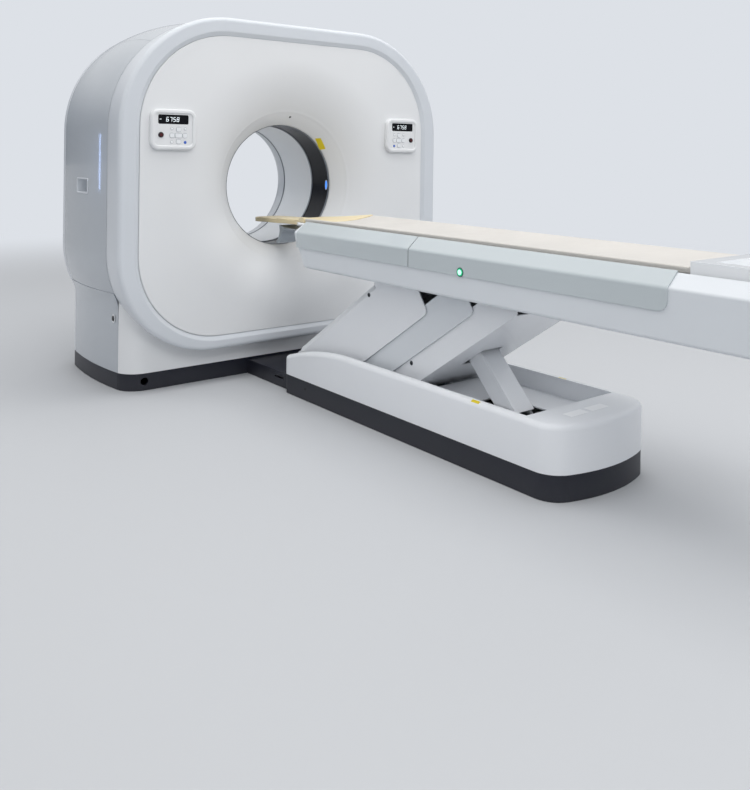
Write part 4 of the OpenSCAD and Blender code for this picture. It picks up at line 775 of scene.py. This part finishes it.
dotX, dotZ, dotR = pod["dot"]
dotProfile = ((dotR, -0.0005), (dotR, 0.001), (dotR - 0.0006, 0.0015), (0.0001, 0.0016))
for sign, word in wordOf.items():
    makePod(sign)
    printed = pod["face"] - 0.0002
    outlines = []
    for x, z, width in keyPlaces:
        pair = [softSquare(x, z, width + g, pod["keyH"] + g, 0.007 + g / 2, 5)[0] for g in (0.0036, 0.0012)]
        outlines.append([onPod(loop, printed, sign) for loop in pair])
    flatShape(f"key_outlines_{word}", outlines, "greySilkPrint")
    for i, (ax, az) in enumerate(((-1, 1), (1, 1), (-1, -1), (1, -1))):
        x, z = crossX + ax * dotX, crossZ + az * dotZ
        ring = [onPod(circleLoop(x, z, r), printed, sign) for r in (dotR + 0.0012, dotR)]
        flatShape(f"dot_ring_{word}_{i}", [ring], "greySilkPrint")
        rows = [onPod(circleLoop(x, z, r), pod["face"] - d, sign) for r, d in dotProfile]
        spot = fixNormals(gridMesh(rows, closeCols=True, caps=True), 1e-6)
        addMark(f"dot_{word}_{i}", spot, "bluePrint" if i == 3 else "keyPolycarbonate", "pod_left")
    # the stop button's dark red middle, and the figures on the display, which aren't mirrored
    middle = onPod(circleLoop(*pod["stop"], 0.0085), pod["face"] - 0.0067, sign)
    flatShape(f"stop_mark_{word}", [[middle]], "redPrint", f"stop_button_{word}")
    figures = digitBars("6758", -0.004) + digitBars("-", -0.070)
    shown = [[onPod(bar * [-sign, 1] + pod["display"][:2], pod["face"] + 0.0005, sign)] for bar in figures]
    flatShape(f"digits_{word}", shown, "digitLight")
print("stage: pods")

# Bore


def revolved(profile, steps=160):
    # a ring about the bore's axis from a closed profile of radius and depth
    a = np.linspace(0, 2 * np.pi, steps, endpoint=False)
    loop = np.array(profile + profile[:1])
    r, y = loop[:, :1], np.repeat(loop[:, 1:], steps, 1)
    points = np.stack([r * np.cos(a), y, gantry["iso"] + r * np.sin(a)], -1)
    return fixNormals(gridMesh(points, closeCols=True))


def softRing(inner, outer, start, end, edge):
    # a ring's profile with small round edges at its inner corners, and flats held by close points
    points = [(outer, start), (inner + edge + 0.001, start)]
    points += [*arcPoints((inner + edge, start + edge), edge, -90, -180, 4)]
    points += [(inner, start + edge + 0.001), (inner, end - edge - 0.001)]
    points += [*arcPoints((inner + edge, end - edge), edge, 180, 90, 4)]
    return points + [(inner + edge + 0.001, end), (outer, end)]


trimPlaces = ((-0.2797, 0.009), (-0.0984, 0.012), (0.2316, 0.0088))
trims = [revolved(softRing(0.347, 0.3498, y, y + wide, 0.0008)) for y, wide in trimPlaces]
window = revolved(softRing(0.350, 0.358, -0.2797, -0.0897, 0.001))
liner = revolved(softRing(0.350, 0.357, -0.0894, 0.2406, 0.0012))
evenNormals(addSkin("bore_window", window, "smokedAcrylic"))
evenNormals(addSkin("bore_liner", liner, "glassFibreLiner"))
evenNormals(addSkin("bore_trims", joinMeshes(trims), "satinAluminium"))


def funnelPoint(angle, radius):
    # A point on the funnel, and its outward normal: the funnel's arc in radius and depth, turned by
    # the angle
    inwards = gantry["funnel"] - radius
    fall = math.sqrt(funnelArc**2 - inwards**2)
    around = np.array([math.cos(angle), 0, math.sin(angle)])
    point = around * radius + np.array([0, panelY + funnelArc - fall, gantry["iso"]])
    return point, (-around * inwards - np.array([0, fall, 0])) / funnelArc


def polar(x, z):
    # angle and radius about the bore's axis
    return np.array([math.atan2(z - gantry["iso"], x), math.hypot(x, z - gantry["iso"])])


def onFunnel(name, corners, look, lift):
    # A thin patch on the funnel, bilinear in angle and radius between its corners; it stands off by
    # lift
    first, second, third, fourth = corners
    t = np.linspace(0, 1, 7)
    rows = []
    for v in t:
        left, right = first * (1 - v) + fourth * v, second * (1 - v) + third * v
        row = [funnelPoint(*((1 - u) * left + u * right)) for u in t]
        rows.append([point + normal * lift for point, normal in row])
    addMark(name, faceTowards(gridMesh(rows), (0, -1, 0)), look, "front_panel")


def discOn(name, place, axis, radius, lift, look, node, inner=0.0, domed=0.0, body=None):
    # A flat or domed disc on a surface: rings about its axis; a dome rises by its share of the radius
    turn = np.array(Vector(axis).to_track_quat("Z", "Y").to_matrix())
    a = np.linspace(0, 2 * np.pi, 32, endpoint=False)
    radii = np.linspace(radius, max(inner, 0.00005), 6)
    rows = [(radius, 0.0)] + [(r, lift + domed * radius * (1 - (r / radius) ** 2)) for r in radii]
    rings = [np.stack([r * np.cos(a), r * np.sin(a), np.full(32, h)], -1) @ turn.T for r, h in rows]
    mesh = gridMesh(np.array(rings) + place, closeCols=True)
    if not inner:
        fixNormals(mesh, 1.2e-4)
    addMark(name, faceTowards(mesh, axis), look, node, body)


def boreLens(angle, look, name, halfHeight, halfWide, lift):
    # An oval lens on the bore ring: ellipse rows from rim to middle, each point at the ring's radius
    # less its rise
    a = np.linspace(0, 2 * np.pi, 40, endpoint=False)
    rows = []
    dome = ((1.0, -0.0005), (1.0, lift * 0.6), (0.9, lift * 0.9), (0.6, lift), (0.02, lift * 1.02))
    for share, rise in dome:
        turn = angle + share * halfHeight / gantry["bore"] * np.sin(a)
        r = gantry["bore"] - rise
        y = -0.249 + share * halfWide * np.cos(a)
        rows.append(np.stack([r * np.cos(turn), y, gantry["iso"] + r * np.sin(turn)], -1))
    addMark(name, fixNormals(gridMesh(rows, closeCols=True, caps=True)), look, "bore_window")


patch = [polar(0.2332, 1.3236), polar(0.2587, 1.3269), polar(0.3033, 1.2612), polar(0.2773, 1.2545)]
onFunnel("funnel_patch", patch, "plainYellowVinyl", 0.0004)
place, normal = funnelPoint(*polar(0.0303, 1.4453))
discOn("funnel_port_ring", place, normal, 0.0085, 0.0006, "paleSilkPrint", "front_panel", inner=0.0060)
discOn("funnel_port", place, normal, 0.0064, 0.0012, "blackRubberAndPaintedShade", "front_panel")
boreLens(-0.022, "paleSilkPrint", "lens_ring", 0.031, 0.0135, 0.0009)
boreLens(-0.022, "blueLens", "lens", 0.026, 0.010, 0.0016)
for sign, word in wordOf.items():
    node, spot = "lower_side_cover_left", np.array([sign * 0.9668, -0.235, 0.365])
    discOn(f"lock_ring_{word}", spot, (sign, 0, 0), 0.0225, 0.0016, "keyPolycarbonate", node, inner=0.0150)
print("stage: bore")

# Table base and lift arms


def rimEdge(e):
    # upper edges of the base along its outside
    return min(v.co.z for v in e.verts) > 0.15 and all(abs(v.co.x) > 0.27 or v.co.y < -2.5 for v in e.verts)


coverCopy("base_cover", "powderCoatPale", 0.004, 3, wide=(rimEdge, 0.022))
coverCopy("base_skirt", "grainedPolypropylene", 0.003)
coverCopy("floor_channel", "grainedPolypropylene", 0.003)
for name in ("front_arm", "middle_arm_cover", "rear_arm", "strut"):
    coverCopy(name, "powderCoatGrey" if name == "middle_arm_cover" else "powderCoatPale")
screw = {"radius": 0.010, "lift": 0.0012, "socket": 0.0055, "socketLift": 0.0011}
leftwards = (-1, 0, 0)
for node, spot in (("front_arm", (-0.2261, -1.4524, 0.5837)), ("rear_arm", (-0.2101, -1.7450, 0.3239))):
    discOn(f"{node}_screw", spot, leftwards, screw["radius"], screw["lift"], "zincScrew", node, domed=0.1)
    # painted shade in each screw's socket: a flat dark disc on the head stands in for the shaded recess
    spot = np.array(spot) - [0.0014, 0, 0]
    discOn(f"{node}_socket", spot, leftwards, screw["socket"], screw["socketLift"], "blackRubberAndPaintedShade", node)


def rimPatch(name, sign, start, end, angles):
    # a plain patch on the base's rounded rim: an arc just above the rim's, between two depths
    arc = arcPoints((0.264, 0.257), 0.0224, *angles, 8) * [sign, 1]
    mesh = gridMesh([atDepth(arc, y) for y in np.linspace(start, end, 4)])
    addMark(name, faceTowards(mesh, (0, 0, 1)), "plainYellowVinyl", "base_cover")


rimPatch("rim_patch_left", -1, -2.192, -2.236, (42, 78))
rimPatch("rim_patch_right", 1, -2.178, -2.218, (60, 100))
deckMark = np.array([(-0.050, -0.022), (0.050, -0.022), (0.050, 0.022), (-0.050, 0.022)])
for i, x in enumerate((-0.083, 0.039)):
    corners = np.insert(deckMark + [x, -2.553], 2, 0.2792, axis=1)
    flatShape(f"deck_mark_{i}", [[corners]], "whiteSilkPrint", "base_cover", (0, 0, 1))
discOn("skirt_plug", (-0.2842, -1.0101, 0.0581), leftwards, 0.0065, 0.0006, "blackRubberAndPaintedShade", "base_skirt")
print("stage: lift")

# Carriage

carriage = {
    "half": 0.300, "footY": -3.430, "low": 0.665, "sideZ": 0.830, "top": 0.882, "edge": 0.012,
    "groove": 0.247, "shoulder": 0.014, "corner": 0.070, "split": 0.805, "wellX": 0.234,
    "well": (-2.4627, -1.4417), "wall": 0.006,
}
noseHeights = np.array([0.665, 0.673, 0.711, 0.796, 0.830, 0.890])
noseDepths = np.array([-0.965, -0.960, -0.940, -0.880, -0.870, -0.870])
# where the shoulder's arc ends: the angle at which the slope to the groove is its tangent
runX = carriage["groove"] - carriage["half"] + carriage["shoulder"]
runZ = carriage["top"] - carriage["sideZ"]
tangent = math.acos(carriage["shoulder"] / math.hypot(runX, runZ))
shoulderEnd = math.degrees(math.atan2(runZ, runX) - tangent)


def carriageSection():
    # Distance inwards from the side, and height, from the bottom up: arc of the lower edge, side,
    # arc of the shoulder, straight slope to the top
    h, e, s = carriage["half"], carriage["edge"], carriage["shoulder"]
    low = arcPoints((e, carriage["low"] + e), e, -90, -180, 5)
    arc = arcPoints((h - s, carriage["sideZ"]), s, 0, shoulderEnd, 6)
    arc[:, 0] = h - arc[:, 0]
    slope = np.linspace(arc[-1], (h - carriage["groove"], carriage["top"]), 5)[1:]
    heights = (carriage["low"] + e + 0.002, 0.700, 0.711, 0.740, 0.770, 0.7957, carriage["split"])
    return np.vstack([low, [(0, z) for z in (*heights, carriage["sideZ"] - 0.002)], arc, slope])


def pathAt(d, z, closed):
    # Half of the plan at a distance inwards: from the foot along the side and round the nose corner;
    # a closed nose goes on to the middle, an open one stops where its corner meets the groove
    centre = np.array([carriage["half"], np.interp(z, noseHeights, noseDepths)]) - carriage["corner"]
    r = max(carriage["corner"] - d, 0.004)
    stop = 90 if closed else math.degrees(math.acos(min((carriage["groove"] - centre[0]) / r, 1.0)))
    along = [(carriage["half"] - d, y) for y in np.linspace(carriage["footY"], centre[1], 40)[:-1]]
    front = [(x, centre[1] + r) for x in np.linspace(centre[0], 0, 9)[1:]] if closed else []
    return [(x, y, z) for x, y in (*along, *arcPoints(centre, r, 0, stop, 10), *front)]


def makeCarriage():
    # The lower grid runs round the nose; above the deck the nose opens for the cradle, so the upper
    # grid stops where its corner meets the groove. The floor has the arms' well cut out
    section, split = carriageSection(), carriage["split"]
    lower = np.array([pathAt(d, z, True) for d, z in section if z <= split + 1e-6])
    upper = np.array([pathAt(d, z, False) for d, z in section if z >= split - 1e-6])
    right = [gridMesh(lower), gridMesh(upper)]
    outline = np.vstack([lower[0], (lower[0] * [-1, 1, 1])[::-1][1:]])
    w, (foot, head) = carriage["wellX"], carriage["well"]
    hole = [(x, y, carriage["low"]) for x, y in ((-w, foot), (w, foot), (w, head), (-w, head))]
    parts = right + [mirrored(mesh) for mesh in right] + [flatWithHoles([outline, hole])]
    piece = addSkin("carriage_cover", joinMeshes(parts, 5e-5), "powderCoatGrey")
    thicken(piece, carriage["wall"], 0.0012, (0, -2.1, 0.75))


band = {
    "low": 0.762, "rise": 0.0048, "foot": -3.083, "slit": -1.825, "gap": 0.004, "corner": 0.034,
    "head": -0.946, "wall": 0.0066, "slitRise": 0.0034, "slitHalf": 0.003,
}


def bandSection(rise):
    # the carriage's section from the band's lower edge up, moved outwards
    h, s = carriage["half"], carriage["shoulder"]
    arc = arcPoints((h - s, carriage["sideZ"]), s + rise, 0, shoulderEnd, 8)
    top = (carriage["groove"] + 0.0006, carriage["top"] + rise / math.sin(math.radians(shoulderEnd)))
    flank = [(h + rise, z) for z in np.linspace(band["low"], carriage["sideZ"] - 0.002, 8)]
    return np.vstack([flank, arc, np.linspace(arc[-1], top, 5)[1:]])


def makeBand(sign):
    # Two strips per side with a slit between them. The foot end's lower corner is round: columns near
    # the end start higher, by the circle of the corner
    section, corner = bandSection(band["rise"]), band["corner"]
    head, foot = band["slit"] + band["gap"] / 2, band["slit"] - band["gap"] / 2
    pieces = []
    for start, end, roundFoot in ((band["foot"], foot, True), (head, band["head"], False)):
        near = start + corner * (1 - np.cos(np.linspace(0, np.pi / 2, 12)))
        columns = []
        for y in np.concatenate([near, np.linspace(start + corner, end, 30)[1:]]):
            inside = max(corner - (y - start), 0) if roundFoot else 0
            low = band["low"] + corner - math.sqrt(max(corner**2 - inside**2, 0))
            column = section.copy()
            column[:8, 1] = np.linspace(low, column[7, 1], 8)
            columns.append(atDepth(column * [sign, 1], y))
        mesh = gridMesh(columns)
        if sign > 0:
            mesh.flip_normals()
        pieces.append(mesh)
    return pieces


makeCarriage()
bands = addSkin("side_bands", joinMeshes(makeBand(-1) + makeBand(1), 0), "glossBandAbs")
thicken(bands, band["wall"], 0.0016, (0, -2.1, 0.7))
# painted shade in the slit between each band's two strips: a dark strip just inside the gap
slitSection = bandSection(band["slitRise"])
for sign in (-1, 1):
    slitEnds = (band["slit"] - band["slitHalf"], band["slit"] + band["slitHalf"])
    mesh = gridMesh([atDepth(slitSection * [sign, 1], y) for y in slitEnds])
    addMark(f"band_slit_shade_{sign + 1}", mesh, "blackRubberAndPaintedShade", "side_bands")
node, glow, ring = "table_button", (-0.3082, -2.148, 0.777), (-0.3049, -2.148, 0.777)
discOn("button_glow", glow, leftwards, 0.0105, 0.0004, "greenLensCore", node, domed=0.08)
discOn("button_ring", ring, leftwards, 0.0185, 0.0012, "darkGreenRing", node, inner=0.0156, body="carriage")
print("stage: carriage")

# Cradle, mattress and head holder

coverCopy("cradle", "gelcoatWhite", 0.003, 3)

cushions = {
    "mattress": {"look": "creamVinyl", "voxel": 0.012, "fill": 0.45, "seed": 7, "wrinkle": 0.0011},
    "head_holder": {"look": "tanVinyl", "voxel": 0.006, "fill": 0.6, "seed": 11, "wrinkle": 0.0003},
}
swell = {"drawnIn": 0.0025, "plain": 0.0018, "most": 0.0022, "pressure": 4, "steps": 20}


def wrinklesAt(co, look):
    # Long diagonal folds: narrow ridges, each a bell across its own line, times a bell along it;
    # the lines come from the seed
    rng = np.random.default_rng(look["seed"])
    low, high = co.min(0), co.max(0)
    result = np.zeros(len(co))
    for _ in range(26):
        cx, cy = rng.uniform(low[0], high[0]), rng.uniform(low[1], high[1])
        angle = rng.uniform(0.9, 1.5) * rng.choice([-1, 1])
        length, width, height = rng.uniform(0.10, 0.32), rng.uniform(0.006, 0.016), rng.uniform(-1, 0.6)
        x, y = co[:, 0] - cx, co[:, 1] - cy
        along = x * math.cos(angle) + y * math.sin(angle)
        across = y * math.cos(angle) - x * math.sin(angle) + 0.35 * along**2
        result += height * np.exp(-((along / length) ** 2) - (across / width) ** 2)
    return result * look["wrinkle"]


def makeCushion(node, look):
    # The CAD solid remeshed, drawn in by 2.5 mm, blown up under pressure as cloth, and no point let
    # go further than 2.2 mm; then folds on the upper face
    piece = linked(f"{node}_soft", nodes[node].data.copy())
    even = piece.modifiers.new("even", "REMESH")
    even.mode, even.voxel_size = "VOXEL", look["voxel"]
    mesh = evaluatedMesh(piece)
    piece.modifiers.clear()
    piece.data = mesh
    normals = np.empty(len(mesh.vertices) * 3)
    mesh.vertices.foreach_get("normal", normals)
    normals = normals.reshape(-1, 3)
    start = coordinatesOf(mesh) - normals * swell["drawnIn"]
    mesh.vertices.foreach_set("co", start.ravel())
    mesh.update()
    moved = start + normals * swell["plain"]
    cloth = piece.modifiers.new("cloth", "CLOTH").settings
    cloth.use_pressure, cloth.uniform_pressure_force, cloth.quality = True, swell["pressure"], 4
    cloth.effector_weights.gravity = 0
    for step in range(swell["steps"]):
        bpy.context.scene.frame_set(step + 1)
    moved = coordinatesOf(evaluatedMesh(piece))
    piece.modifiers.clear()
    bpy.context.scene.frame_set(1)
    shift = moved - start
    far = np.maximum(np.linalg.norm(shift, axis=1, keepdims=True), 1e-9)
    ended = start + shift * np.minimum(1, swell["most"] / far)
    upper = normals[:, 2] > 0.6
    ended[upper, 2] += wrinklesAt(ended[upper], look)
    mesh.vertices.foreach_set("co", ended.ravel())
    mesh.update()
    bpy.data.objects.remove(piece)
    done = addPiece(f"{node}_soft", mesh, finish[look["look"]], "cradle", [node])
    smooth = done.modifiers.new("smooth", "SUBSURF")
    smooth.levels = smooth.render_levels = 1


for node, look in cushions.items():
    makeCushion(node, look)
print("stage: cushions")

# Nodes that keep the CAD's shape, with their own finishes

plainNodes = {
    "primedSteel": ["gantry_base_frame", "stator_frame"],
    "paintedSteelPale": ["table_base_frame", "carriage_frame"],
    "groundSteel": ["main_bearing", "nut_block", "lift_screw"],
    "enamelledCopper": ["drive_stator", "slip_ring"],
    "castAluminium": ["rotor_drum", "cooling_unit"],
    "housingEnamel": ["xray_tube", "collimator", "hv_generator", "detector_array"],
    "blackSoftTouch": ["cover_lock_left", "cover_lock_right", "stop_button_left", "stop_button_right"],
    "displayAcrylic": ["pod_display_left", "pod_display_right"],
    "keyPolycarbonate": [n for n in nodes if "_key_" in n],
    "greenLens": ["table_button"],
}
for name, users in plainNodes.items():
    for node in users:
        mesh = nodes[node].data
        mesh.materials.clear()
        mesh.materials.append(finish[name])
print("stage: plain nodes")

# Floor, light and camera

studio = {
    "floor": "#BFC1C4", "wall": "#DDE1E7", "skyStrength": 0.80, "fadeFrom": 3.4, "fadeTo": 8.0, "half": 60,
}
floorMesh = bpy.data.meshes.new("floorPlane")
corners = [(x * studio["half"], y * studio["half"], 0) for x, y in ((-1, -1), (1, -1), (1, 1), (-1, 1))]
floorMesh.from_pydata(corners, [], [(0, 1, 2, 3)])
floor = linked("floorPlane", floorMesh)
# with distance from the middle the camera sees the floor fade into the backdrop's colour, by a
# smooth step between two radii; to every other ray it stays a plain floor
floorMaterial, tree, place = newMaterial("paleFloor")
floorLook = {"Base Color": linear(studio["floor"]), "Roughness": 0.6}
plain = addNode(tree, "ShaderNodeBsdfPrincipled", floorLook).outputs[0]
away = addNode(tree, "ShaderNodeVectorMath", {"operation": "LENGTH"}, {0: place}).outputs["Value"]
ends = {"From Min": studio["fadeFrom"], "From Max": studio["fadeTo"], "interpolation_type": "SMOOTHSTEP"}
fade = addNode(tree, "ShaderNodeMapRange", ends, {"Value": away}).outputs[0]
seen = addNode(tree, "ShaderNodeLightPath").outputs["Is Camera Ray"]
fade = addNode(tree, "ShaderNodeMath", {"operation": "MULTIPLY"}, {0: fade, 1: seen}).outputs[0]
glow = addNode(tree, "ShaderNodeEmission", {"Color": linear(studio["wall"])}).outputs[0]
both = addNode(tree, "ShaderNodeMixShader", links={0: fade, 1: plain, 2: glow}).outputs[0]
addNode(tree, "ShaderNodeOutputMaterial", links={"Surface": both})
floorMesh.materials.append(floorMaterial)

# the sky brightens from a grey horizon to a white top; the camera sees a plain pale backdrop instead
world = bpy.data.worlds.new("studioSky")
bpy.context.scene.world = world
world.use_nodes = True
tree = world.node_tree
tree.nodes.clear()
way = addNode(tree, "ShaderNodeTexCoord").outputs["Generated"]
height = addNode(tree, "ShaderNodeSeparateXYZ", links={0: way}).outputs["Z"]
ramp = addNode(tree, "ShaderNodeValToRGB", links={"Fac": height})
stops = ramp.color_ramp.elements
for position, hexColour in ((0.0, "#7C828B"), (0.12, "#9EA4AD"), (0.32, "#F2F5F9"), (0.8, "#FFFFFF")):
    stops.new(position).color = linear(hexColour)
stops.remove(stops[0])
stops.remove(stops[-1])
strength = {"Strength": studio["skyStrength"]}
sky = addNode(tree, "ShaderNodeBackground", strength, {"Color": ramp.outputs[0]}).outputs[0]
plain = {"Color": linear(studio["wall"]), "Strength": 1.0}
backdrop = addNode(tree, "ShaderNodeBackground", plain).outputs[0]
seen = addNode(tree, "ShaderNodeLightPath").outputs["Is Camera Ray"]
choice = addNode(tree, "ShaderNodeMixShader", links={0: seen, 1: sky, 2: backdrop})
addNode(tree, "ShaderNodeOutputWorld", links={0: choice.outputs[0]})


def addLamp(name, place, target, size, power, colour):
    # a soft box that looks at a point
    data = bpy.data.lights.new(name, "AREA")
    data.shape, data.size, data.size_y, data.energy = "RECTANGLE", size[0], size[1], power
    data.color = linear(colour)[:3]
    lamp = linked(name, data)
    lamp.location = place
    lamp.rotation_mode = "QUATERNION"
    lamp.rotation_quaternion = (Vector(target) - Vector(place)).to_track_quat("-Z", "Y")
    return lamp


for name, spot, target, size, power, colour in (
    ("keyBox", (-1.8, -6.0, 4.6), (0, -0.6, 0.9), (3.0, 2.2), 80, "#FFFFFF"),
    ("fillBox", (4.5, -3.5, 3.2), (0, -1.0, 0.8), (2.6, 2.6), 32, "#FBFCFF"),
    ("topBox", (0.0, -1.2, 5.2), (0, -1.0, 0.0), (4.0, 3.0), 108, "#FFFFFF"),
    ("backBox", (-3.5, 4.5, 3.6), (0, 0.2, 1.0), (2.6, 2.2), 32, "#FBFCFF"),
):
    addLamp(name, spot, target, size, power, colour).visible_glossy = False
# a narrow lamp behind that shows as a streak in the gantry's side
streak = addLamp("stripBox", (-3.7, 4.05, 1.1), (-1.04, -0.2, 1.1), (0.08, 0.6), 1.3, "#A9C6FF")
streak.visible_camera = False

view = {
    "place": (-2.642, -4.622, 1.253), "yaw": 39.04, "roll": 0.696, "lens": 39.09, "sensor": 36.0,
    "shift": (-0.0273, -0.3086),
}
cameraData = bpy.data.cameras.new("photoView")
cameraData.lens, cameraData.sensor_width = view["lens"], view["sensor"]
cameraData.shift_x, cameraData.shift_y = view["shift"]
camera = linked("photoView", cameraData)
bpy.context.scene.camera = camera
# turned level towards the gantry by the yaw, raised to the horizon, then rolled about its own axis
turn = Matrix.Translation(view["place"])
for angle, axis in ((-view["yaw"], "Z"), (90, "X"), (view["roll"], "Z")):
    turn = turn @ Matrix.Rotation(math.radians(angle), 4, axis)
camera.matrix_world = turn
bpy.context.scene.view_settings.view_transform = "Standard"
print("stage: studio")
